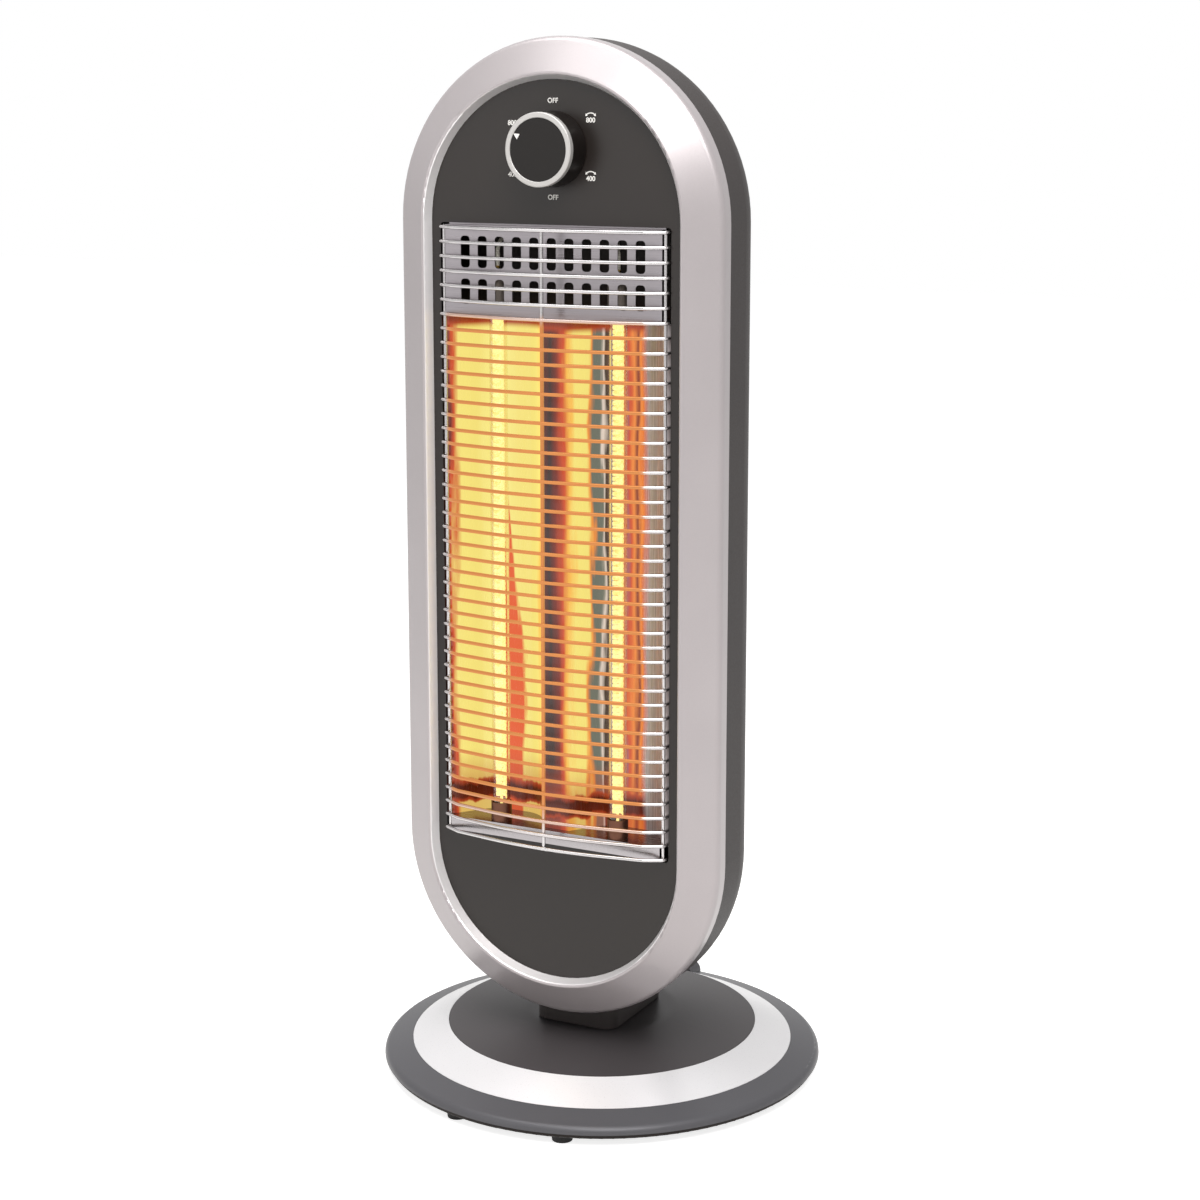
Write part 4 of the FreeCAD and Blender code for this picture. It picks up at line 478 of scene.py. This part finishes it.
        left = add_node(tree, "ShaderNodeMapRange",
                        {"Value": across, "From Min": self.TONGUE_LEFT[0] * MM,
                         "From Max": self.TONGUE_LEFT[1] * MM})
        tongue = add_node(tree, "ShaderNodeMath", {0: right.outputs["Result"], 1: left.outputs["Result"]},
                          operation="MULTIPLY")
        banded = add_node(tree, "ShaderNodeMix",
                          {"Factor": tongue.outputs[0], MIX_FIRST: bands.outputs["Color"], MIX_SECOND: flame},
                          data_type="RGBA")
        height = add_node(tree, "ShaderNodeMath", {0: axes.outputs["Z"], 1: sway.outputs["Result"]},
                          operation="ADD")
        over_sill = add_node(tree, "ShaderNodeMapRange",
                             {"Value": height.outputs[0], "From Min": low.z,
                              "From Max": low.z + self.BELT_HEIGHT * MM})
        belt = add_node(tree, "ShaderNodeValToRGB", {"Fac": over_sill.outputs["Result"]})
        set_stops(belt.color_ramp, [(share, (strength,) * 3) for share, strength in self.BELT])
        top = add_node(tree, "ShaderNodeMapRange",
                       {"Value": axes.outputs["Z"], "From Min": high.z - self.TOP_FADE[0] * MM,
                        "From Max": high.z - self.TOP_FADE[1] * MM, "To Min": self.TOP_SHARE},
                       interpolation_type="SMOOTHSTEP")
        reach = add_node(tree, "ShaderNodeMath", {0: belt.outputs["Color"], 1: top.outputs["Result"]},
                         operation="MULTIPLY").outputs[0]
        lit = add_node(tree, "ShaderNodeMapRange",
                       {"Value": across, "From Min": self.LIT_EDGE[1] * MM,
                        "From Max": self.LIT_EDGE[0] * MM}).outputs["Result"]
        plain = shader.inputs["Base Color"].links[0].from_socket
        dim = add_node(tree, "ShaderNodeMix",
                       {"Factor": lit, MIX_FIRST: plain,
                        MIX_SECOND: (*tint(shades.sheet, self.UNDER_LIGHT), 1.0)}, data_type="RGBA")
        metal = add_node(tree, "ShaderNodeMapRange", {"Value": lit, "To Min": self.PLAIN_METAL})
        share = add_node(tree, "ShaderNodeMath", {0: reach, 1: lit}, operation="MULTIPLY")
        full = add_node(tree, "ShaderNodeMapRange",
                        {"Value": reach, "From Min": self.EMBER_BELOW, "From Max": 1.0})
        toned = add_node(tree, "ShaderNodeMix",
                         {"Factor": full.outputs["Result"], MIX_FIRST: ember,
                          MIX_SECOND: banded.outputs[MIX_RESULT]}, data_type="RGBA")
        tree.links.new(dim.outputs[MIX_RESULT], shader.inputs["Base Color"])
        tree.links.new(metal.outputs["Result"], shader.inputs["Metallic"])
        tree.links.new(toned.outputs[MIX_RESULT], shader.inputs["Emission Color"])
        tree.links.new(share.outputs[0], shader.inputs["Emission Strength"])
        dress(material, "reflector")


class CARBON_HEATER_OT_tubes(bpy.types.Operator):
    """Quartz tubes with wound carbon strips, their caps and leads"""
    bl_idname = "carbon_heater.tubes"
    bl_label = "Make the tubes"

    # Sections in one turn of a strip, corners of a section, and turns that a strip overlaps its rod by.
    TURN_STEPS = 18
    SIDES = 10
    OVERLAP = 2
    # Light of the carbon where its fibres lie deeper and where they stand out.
    DEEP, PROUD = "#fbd470", "#fff2b4"

    def ring(self, form, centre, across, along, half_across, half_along):
        """One closed section of a strip or rod."""
        turn = 2 * math.pi / self.SIDES
        return [form.verts.new(centre + across * (half_across * math.cos(turn * i))
                               + along * (half_along * math.sin(turn * i))) for i in range(self.SIDES)]

    def skin(self, form, rings):
        """Joins sections to a closed skin."""
        for first, second in zip(rings, rings[1:]):
            for i in range(self.SIDES):
                j = (i + 1) % self.SIDES
                form.faces.new((first[i], first[j], second[j], second[i]))
        form.faces.new(list(reversed(rings[0])))
        form.faces.new(rings[-1])

    def coil(self, name, node, material, sizes):
        """A carbon strip wound on the tube's axis, on a rod at each end."""
        low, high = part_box(node)
        axis_x, axis_y = (low.x + high.x) / 2, (low.y + high.y) / 2
        bottom, top = low.z + sizes.coil_foot, high.z - sizes.coil_inset
        form = bmesh.new()
        turns = (top - bottom) / sizes.coil_pitch
        count = int(turns * self.TURN_STEPS)
        rings = []
        for i in range(count + 1):
            angle = 2 * math.pi * i / self.TURN_STEPS
            outward = Vector((math.cos(angle), math.sin(angle), 0))
            spot = Vector((axis_x, axis_y, bottom + (top - bottom) * i / count)) + outward * sizes.coil_radius
            rings.append(self.ring(form, spot, outward, Vector((0, 0, 1)),
                                   sizes.strip_thickness / 2, sizes.strip_width / 2))
        self.skin(form, rings)
        overlap = sizes.coil_pitch * self.OVERLAP
        for start, end in ((low.z, bottom + overlap), (top - overlap, high.z)):
            self.skin(form, [self.ring(form, Vector((axis_x, axis_y, level)), Vector((1, 0, 0)),
                                       Vector((0, 1, 0)), sizes.rod_radius, sizes.rod_radius)
                             for level in (start, (start + end) / 2, end)])
        bmesh.ops.recalc_face_normals(form, faces=form.faces)
        for face in form.faces:
            face.smooth = True
        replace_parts(new_piece(name, form, material, "head"), node)

    def execute(self, context):
        sizes = context.scene.carbon_heater_sizes
        shades = context.scene.carbon_heater_colours
        # Fused quartz drawn as tube: clear, with faint draw lines along its length.
        material, tree, shader, place = new_finish("drawn_fused_quartz", Transmission_Weight=1.0, IOR=1.46,
                                                   Base_Color=(*shades.quartz, 1.0))
        drawn = add_node(tree, "ShaderNodeMapping", {"Vector": place, "Scale": (1.0, 1.0, DRAWN_OUT)})
        lines = add_node(tree, "ShaderNodeTexNoise",
                         {"Vector": drawn.outputs["Vector"], "Scale": 1 / (1.5 * MM)})
        gloss = add_node(tree, "ShaderNodeMapRange",
                         {"Value": lines.outputs["Fac"], "To Min": 0.0, "To Max": 0.09})
        tree.links.new(gloss.outputs["Result"], shader.inputs["Roughness"])
        dress(material, "quartz_tube_left", "quartz_tube_right")
        # Carbon fibre strip at heat: a pale yellow light that dims between the fibres.
        material, tree, shader, place = new_finish("carbon_fibre_strip_at_heat", Roughness=0.7,
                                                   Base_Color=(0.02, 0.02, 0.02, 1.0), Emission_Strength=1.25)
        fibres = add_node(tree, "ShaderNodeTexNoise",
                          {"Vector": place, "Scale": 1 / (0.8 * MM), "Detail": 2.0})
        heat = add_node(tree, "ShaderNodeValToRGB", {"Fac": fibres.outputs["Fac"]})
        set_stops(heat.color_ramp, [(0.2, linear(self.DEEP)), (0.5, tuple(shades.carbon)),
                                    (0.8, linear(self.PROUD))])
        tree.links.new(heat.outputs["Color"], shader.inputs["Emission Color"])
        for side in ("left", "right"):
            self.coil("wound_carbon_" + side, "carbon_filament_" + side, material, sizes)
        # Unglazed steatite, browned by heat: matt, with a fine fired grain.
        dress(grained("heat_browned_steatite", shades.ceramic, 0.5 * MM, 0.02 * MM, 0.75, 0.08, 0.06),
              "tube_caps_upper")
        # Crimped steel end caps, browned by heat: a dark warm metal.
        dress(lined("heat_browned_steel_cap", shades.cap, 0.6 * MM, "Z", 0.42)[0], "tube_caps_lower")
        # Glass-fibre braid: a pale weave of crossing strands.
        material, tree, shader, place = new_finish("glass_fibre_braid", Roughness=0.8, Sheen_Weight=0.2)
        strands = 1 / (math.tau * sizes.braid)
        warp = add_node(tree, "ShaderNodeTexWave", {"Vector": place, "Scale": strands},
                        bands_direction="DIAGONAL")
        weft = add_node(tree, "ShaderNodeTexWave", {"Vector": place, "Scale": strands}, bands_direction="Z")
        weave = add_node(tree, "ShaderNodeMath", {0: warp.outputs["Fac"], 1: weft.outputs["Fac"]},
                         operation="MULTIPLY")
        tones = add_node(tree, "ShaderNodeValToRGB", {"Fac": weave.outputs[0]})
        set_stops(tones.color_ramp, [(0.0, tint(shades.sleeve, 0.7)), (0.7, tint(shades.sleeve, 1.05))])
        relief = add_node(tree, "ShaderNodeBump", {"Height": weave.outputs[0], "Distance": 0.1 * MM})
        tree.links.new(tones.outputs["Color"], shader.inputs["Base Color"])
        tree.links.new(relief.outputs["Normal"], shader.inputs["Normal"])
        dress(material, "upper_leads", "lower_leads")
        return {"FINISHED"}


class CARBON_HEATER_OT_dial(bpy.types.Operator):
    """Knob finishes and the marks printed round the knob"""
    bl_idname = "carbon_heater.dial"
    bl_label = "Make the dial"

    # Each mark: its angle in degrees from +X, its distance from the knob's axis in millimetres, its text and
    # whether a swing sign stands above it.
    MARKS = ((90, 28, "OFF", False), (34, 30, "800", True), (-34, 30, "400", True), (-90, 28, "OFF", False),
             (-151, 31, "400", False), (151, 31, "800", False))
    # Shares of the mark height: a printed letter, and a sign's rise over its number.
    LETTER = 0.9
    SIGN_RISE = 1.35
    # A capital letter's share of the font's own size, and how much its strokes are fattened for its height.
    CAPITAL = 0.7
    FATTEN = 0.03
    # The swing sign's half angle in degrees and its steps, the length of its arrow heads in radians and
    # their half width in half strokes.
    SIGN_SPREAD = 38
    SIGN_STEPS = 10
    ARROW_LENGTH = 0.3
    ARROW_HALF = 3

    def letters(self, name, text, spot, height, film, material):
        """A printed word or number standing on the fascia."""
        curve = bpy.data.curves.new(name, "FONT")
        curve.body = text
        curve.align_x, curve.align_y = "CENTER", "CENTER"
        curve.size = height / self.CAPITAL
        curve.extrude = film / 2
        curve.offset = self.FATTEN * height
        source = bpy.data.objects.new(name + "_source", curve)
        bpy.context.scene.collection.objects.link(source)
        bpy.context.view_layer.update()
        mesh = bpy.data.meshes.new_from_object(source.evaluated_get(bpy.context.evaluated_depsgraph_get()))
        bpy.data.objects.remove(source)
        bpy.data.curves.remove(curve)
        form = bmesh.new()
        form.from_mesh(mesh)
        bpy.data.meshes.remove(mesh)
        form.transform(Matrix.Translation(spot) @ Matrix.Rotation(math.radians(90), 4, "X"))
        new_piece(name, form, material, "head")

    def swing_sign(self, name, centre, front, sizes, material):
        """An arc with an arrow head at each end."""
        form = bmesh.new()
        spread = math.radians(self.SIGN_SPREAD)
        radius, half = sizes.sign_radius, sizes.sign_stroke / 2
        wing = self.ARROW_HALF * half
        arc = [math.pi / 2 - spread + 2 * spread * i / self.SIGN_STEPS for i in range(self.SIGN_STEPS + 1)]

        def at(angle, distance):
            return (centre.x + distance * math.cos(angle), centre.z - radius + distance * math.sin(angle))

        flat_print(form, [at(a, radius + half) for a in arc] + [at(a, radius - half) for a in reversed(arc)],
                   front, sizes.mark_film)
        for end, way in ((arc[0], -1), (arc[-1], 1)):
            tip = end + way * self.ARROW_LENGTH
            flat_print(form, [at(end, radius + wing), at(tip, radius), at(end, radius - wing)],
                       front, sizes.mark_film)
        bmesh.ops.recalc_face_normals(form, faces=form.faces)
        new_piece(name, form, material, "head")

    def execute(self, context):
        sizes = context.scene.carbon_heater_sizes
        shades = context.scene.carbon_heater_colours
        # Black ABS knob from a polished mould: darker and a little glossier than the fascia.
        dress(grained("polished_moulded_black_abs", shades.knob, 0.6 * MM, 0.002 * MM, 0.34, 0.03, 0.03,
                      Specular_IOR_Level=0.22), "knob")
        # Silver lacquer on the knob's ring: satin, with a finer flake than the bezel's.
        dress(grained("fine_silver_lacquer", shades.ring_silver, sizes.flake / 2, 0.003 * MM, 0.36, 0.05,
                      0.03, Metallic=0.3), "knob_ring")
        # Pad-printed white ink: a thin matt film, with pinholes.
        ink = grained("pad_printed_white_ink", shades.ink, 0.3 * MM, 0.01 * MM, 0.6, 0.06, 0.04)
        dress(ink, "knob_pointer")
        low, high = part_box("knob")
        axis_x, axis_z = (low.x + high.x) / 2, (low.z + high.z) / 2
        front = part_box("front_fascia")[0].y
        for index, (degrees, reach, text, swings) in enumerate(self.MARKS, 1):
            angle = math.radians(degrees)
            spot = Vector((axis_x + reach * MM * math.cos(angle), front - sizes.mark_film / 2,
                           axis_z + reach * MM * math.sin(angle)))
            self.letters("dial_mark_%d" % index, text, spot, sizes.mark_height * self.LETTER,
                         sizes.mark_film, ink)
            if swings:
                rise = Vector((0, 0, sizes.mark_height * self.SIGN_RISE))
                self.swing_sign("swing_sign_%d" % index, spot + rise, front, sizes, ink)
        return {"FINISHED"}


class CARBON_HEATER_OT_base(bpy.types.Operator):
    """Finishes of the base, its feet and its gland"""
    bl_idname = "carbon_heater.base"
    bl_label = "Finish the base"

    # Breadth of the change to the skirt's painted sheen, which lies under the ring, in millimetres.
    SKIRT_EDGE = 10

    def execute(self, context):
        sizes = context.scene.carbon_heater_sizes
        shades = context.scene.carbon_heater_colours
        # Charcoal lacquer with a fine flake on moulded ABS: dark inside the ring, and paler on the skirt,
        # where a painted sheen stands for the light that the skirt's outward slope catches.
        charcoal = grained("charcoal_lacquer_on_abs", shades.base, sizes.flake, 0.004 * MM, 0.38, 0.04, 0.05,
                           Metallic=0.2, Specular_IOR_Level=0.15)
        tree, shader, place = opened(charcoal)
        level = add_node(tree, "ShaderNodeVectorMath", {0: place, 1: (1.0, 1.0, 0.0)}, operation="MULTIPLY")
        reach = add_node(tree, "ShaderNodeVectorMath", {0: level.outputs["Vector"]}, operation="LENGTH")
        ring_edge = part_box("base_trim_ring")[1].x
        skirt = add_node(tree, "ShaderNodeMapRange",
                         {"Value": reach.outputs["Value"], "From Min": ring_edge - self.SKIRT_EDGE * MM,
                          "From Max": ring_edge})
        # Painted sheen: the skirt's paler colour is mixed into the lacquer's own tone.
        plain = shader.inputs["Base Color"].links[0].from_socket
        paler = add_node(tree, "ShaderNodeMix",
                         {"Factor": skirt.outputs["Result"], MIX_FIRST: plain,
                          MIX_SECOND: (*shades.skirt, 1.0)}, data_type="RGBA")
        tree.links.new(paler.outputs[MIX_RESULT], shader.inputs["Base Color"])
        dress(charcoal, "base_cover")
        # Black ABS left as moulded: the dark line under the skirt.
        dress(grained("matt_moulded_black_abs", shades.fascia, sizes.mould_grain, 0.01 * MM, 0.5,
                      Specular_IOR_Level=0.2), "base_pan")
        # Bright silver lacquer: a paler coat than the bezel's.
        dress(grained("bright_silver_lacquer", shades.bright_silver, sizes.flake, 0.004 * MM, 0.32, 0.05,
                      0.03, Metallic=0.25, Coat_Weight=0.2, Coat_Roughness=0.2), "base_trim_ring")
        # Moulded rubber: near black and matt.
        dress(grained("moulded_rubber", shades.rubber, 0.6 * MM, 0.03 * MM, 0.8, 0.08, 0.15),
              "base_feet", "cord_gland")
        return {"FINISHED"}


class CARBON_HEATER_OT_works(bpy.types.Operator):
    """Finishes of the pieces inside: pivot, swing drive, switches, weight and screws"""
    bl_idname = "carbon_heater.works"
    bl_label = "Finish the works"

    def execute(self, context):
        shades = context.scene.carbon_heater_colours
        # Turned and pressed steel: grey, with fine tool lines.
        dress(lined("turned_plain_steel", shades.steel, 0.5 * MM, "Z", 0.32)[0], "base_screws",
              "motor_screws", "motor_shaft", "pivot_tube", "retaining_ring", "swing_arm", "post_screws",
              "bracket_screws", "case_screws", "switch_nut")
        # Turned brass: warm yellow metal, a little dull.
        dress(lined("turned_brass", shades.brass, 0.5 * MM, "Y", 0.3)[0], "tube_terminals", "switch_shaft")
        # Sand-cast iron: dark, rough and pitted.
        dress(grained("sand_cast_iron", shades.iron, 1.6 * MM, 0.15 * MM, 0.75, 0.1, 0.2, Metallic=0.6),
              "base_weight")
        # Natural nylon: milky, with a waxy sheen.
        dress(grained("moulded_natural_nylon", shades.nylon, 1.5 * MM, 0.01 * MM, 0.42, 0.06, 0.04,
                      Subsurface_Weight=0.15), "pivot_bush", "motor_crank", "tip_plunger", "terminal_block")
        # Moulded phenolic: dark brown with a speckle of filler.
        dress(grained("moulded_phenolic", shades.phenolic, 0.8 * MM, 0.01 * MM, 0.4, 0.06, 0.3),
              "tip_switch", "rotary_switch", "thermal_cutout")
        return {"FINISHED"}


class CARBON_HEATER_OT_stage(bpy.types.Operator):
    """Pale floor, white room, soft lamps and the camera"""
    bl_idname = "carbon_heater.stage"
    bl_label = "Set the stage"

    # Each lamp: its name, the property that holds its power, its place, the height on the heater's axis that
    # it faces and its side, in metres.
    LAMPS = (("key_lamp", "key_power", (0.7, -1.0, 1.8), 0.35, 1.1),
             ("top_lamp", "top_power", (-0.35, -0.35, 2.3), 0.35, 1.3),
             ("front_lamp", "front_power", (-0.85, -1.7, 0.8), 0.5, 0.8))
    # Width of the camera's sensor in millimetres.
    SENSOR = 36.0
    # Light that the paper gives to the eye, on top of what it throws back.
    PAPER_LIFT = 0.8

    def lamp(self, name, spot, target, side, power):
        """A square soft lamp that faces a point."""
        light = bpy.data.lights.new(name, "AREA")
        light.size = side
        light.energy = power
        lamp = bpy.data.objects.new(name, light)
        lamp.location = spot
        lamp.rotation_euler = (Vector(target) - Vector(spot)).to_track_quat("-Z", "Y").to_euler()
        bpy.context.scene.collection.objects.link(lamp)

    def seen(self, tree):
        """One where the camera, a mirror or glass looks at the backdrop, and nought elsewhere."""
        path = add_node(tree, "ShaderNodeLightPath")
        first = add_node(tree, "ShaderNodeMath",
                         {0: path.outputs["Is Camera Ray"], 1: path.outputs["Is Glossy Ray"]},
                         operation="MAXIMUM")
        return add_node(tree, "ShaderNodeMath", {0: first.outputs[0], 1: path.outputs["Is Transmission Ray"]},
                        operation="MAXIMUM").outputs[0]

    def execute(self, context):
        scene = context.scene
        stage = scene.carbon_heater_stage
        scene.view_settings.view_transform = "Standard"
        world = bpy.data.worlds.new("white_room")
        scene.world = world
        world.use_nodes = True
        tree = world.node_tree
        room = tree.nodes["Background"]
        room.inputs["Color"].default_value = (1.0, 1.0, 1.0, 1.0)
        strength = add_node(tree, "ShaderNodeMapRange",
                            {"Value": self.seen(tree), "To Min": stage.fill, "To Max": 1.0})
        tree.links.new(strength.outputs["Result"], room.inputs["Strength"])
        form = bmesh.new()
        bmesh.ops.create_grid(form, x_segments=1, y_segments=1, size=stage.floor_side / 2)
        mesh = bpy.data.meshes.new("floor")
        form.to_mesh(mesh)
        form.free()
        floor = bpy.data.objects.new("floor", mesh)
        scene.collection.objects.link(floor)
        # Seamless white paper: bright to the eye, and it keeps the heater's soft shadow.
        material, tree, shader, place = new_finish("seamless_white_paper", Roughness=0.9,
                                                   Specular_IOR_Level=0.0,
                                                   Emission_Color=(1.0, 1.0, 1.0, 1.0))
        fibre = add_node(tree, "ShaderNodeTexNoise", {"Vector": place, "Scale": 1 / (3 * MM)})
        tones = add_node(tree, "ShaderNodeValToRGB", {"Fac": fibre.outputs["Fac"]})
        set_stops(tones.color_ramp, [(GRAIN_LOW, tint(stage.floor_colour, 0.98)),
                                     (GRAIN_HIGH, tuple(stage.floor_colour))])
        lift = add_node(tree, "ShaderNodeMath", {0: self.seen(tree), 1: self.PAPER_LIFT},
                        operation="MULTIPLY")
        tree.links.new(tones.outputs["Color"], shader.inputs["Base Color"])
        tree.links.new(lift.outputs[0], shader.inputs["Emission Strength"])
        mesh.materials.append(material)
        for name, power, spot, level, side in self.LAMPS:
            self.lamp(name, spot, (0, 0, level), side, getattr(stage, power))
        data = bpy.data.cameras.new("studio_camera")
        data.sensor_width = self.SENSOR
        data.lens = stage.lens
        data.shift_y = stage.rise
        camera = bpy.data.objects.new("studio_camera", data)
        camera.location = stage.camera_spot
        camera.rotation_euler = (math.pi / 2 - stage.camera_dip, 0, stage.camera_turn)
        scene.collection.objects.link(camera)
        scene.camera = camera
        return {"FINISHED"}


STEPS = (CARBON_HEATER_OT_stage, CARBON_HEATER_OT_case, CARBON_HEATER_OT_guard, CARBON_HEATER_OT_cell,
         CARBON_HEATER_OT_tubes, CARBON_HEATER_OT_dial, CARBON_HEATER_OT_base, CARBON_HEATER_OT_works)
GROUPS = {"carbon_heater_sizes": CarbonHeaterSizes, "carbon_heater_colours": CarbonHeaterColours,
          "carbon_heater_stage": CarbonHeaterStage}


class CARBON_HEATER_PT_panel(bpy.types.Panel):
    """Lists the steps and the values that they use"""
    bl_idname = "CARBON_HEATER_PT_panel"
    bl_label = "Carbon heater"
    bl_space_type = "VIEW_3D"
    bl_region_type = "UI"
    bl_category = "Carbon heater"

    def draw(self, context):
        for step in STEPS:
            self.layout.operator(step.bl_idname)
        for group, kind in GROUPS.items():
            box = self.layout.box()
            for key in kind.__annotations__:
                box.prop(getattr(context.scene, group), key)


def register():
    """Makes the classes known and hangs the values on the scene."""
    for kind in (*GROUPS.values(), *STEPS, CARBON_HEATER_PT_panel):
        bpy.utils.register_class(kind)
    for group, kind in GROUPS.items():
        setattr(bpy.types.Scene, group, PointerProperty(type=kind))


def unregister():
    """Takes back what register gave."""
    for group in GROUPS:
        delattr(bpy.types.Scene, group)
    for kind in (CARBON_HEATER_PT_panel, *reversed(STEPS), *GROUPS.values()):
        bpy.utils.unregister_class(kind)


def main():
    """Runs every step in order."""
    register()
    for step in STEPS:
        group, name = step.bl_idname.split(".")
        getattr(getattr(bpy.ops, group), name)()


if __name__ == "__main__":
    main()
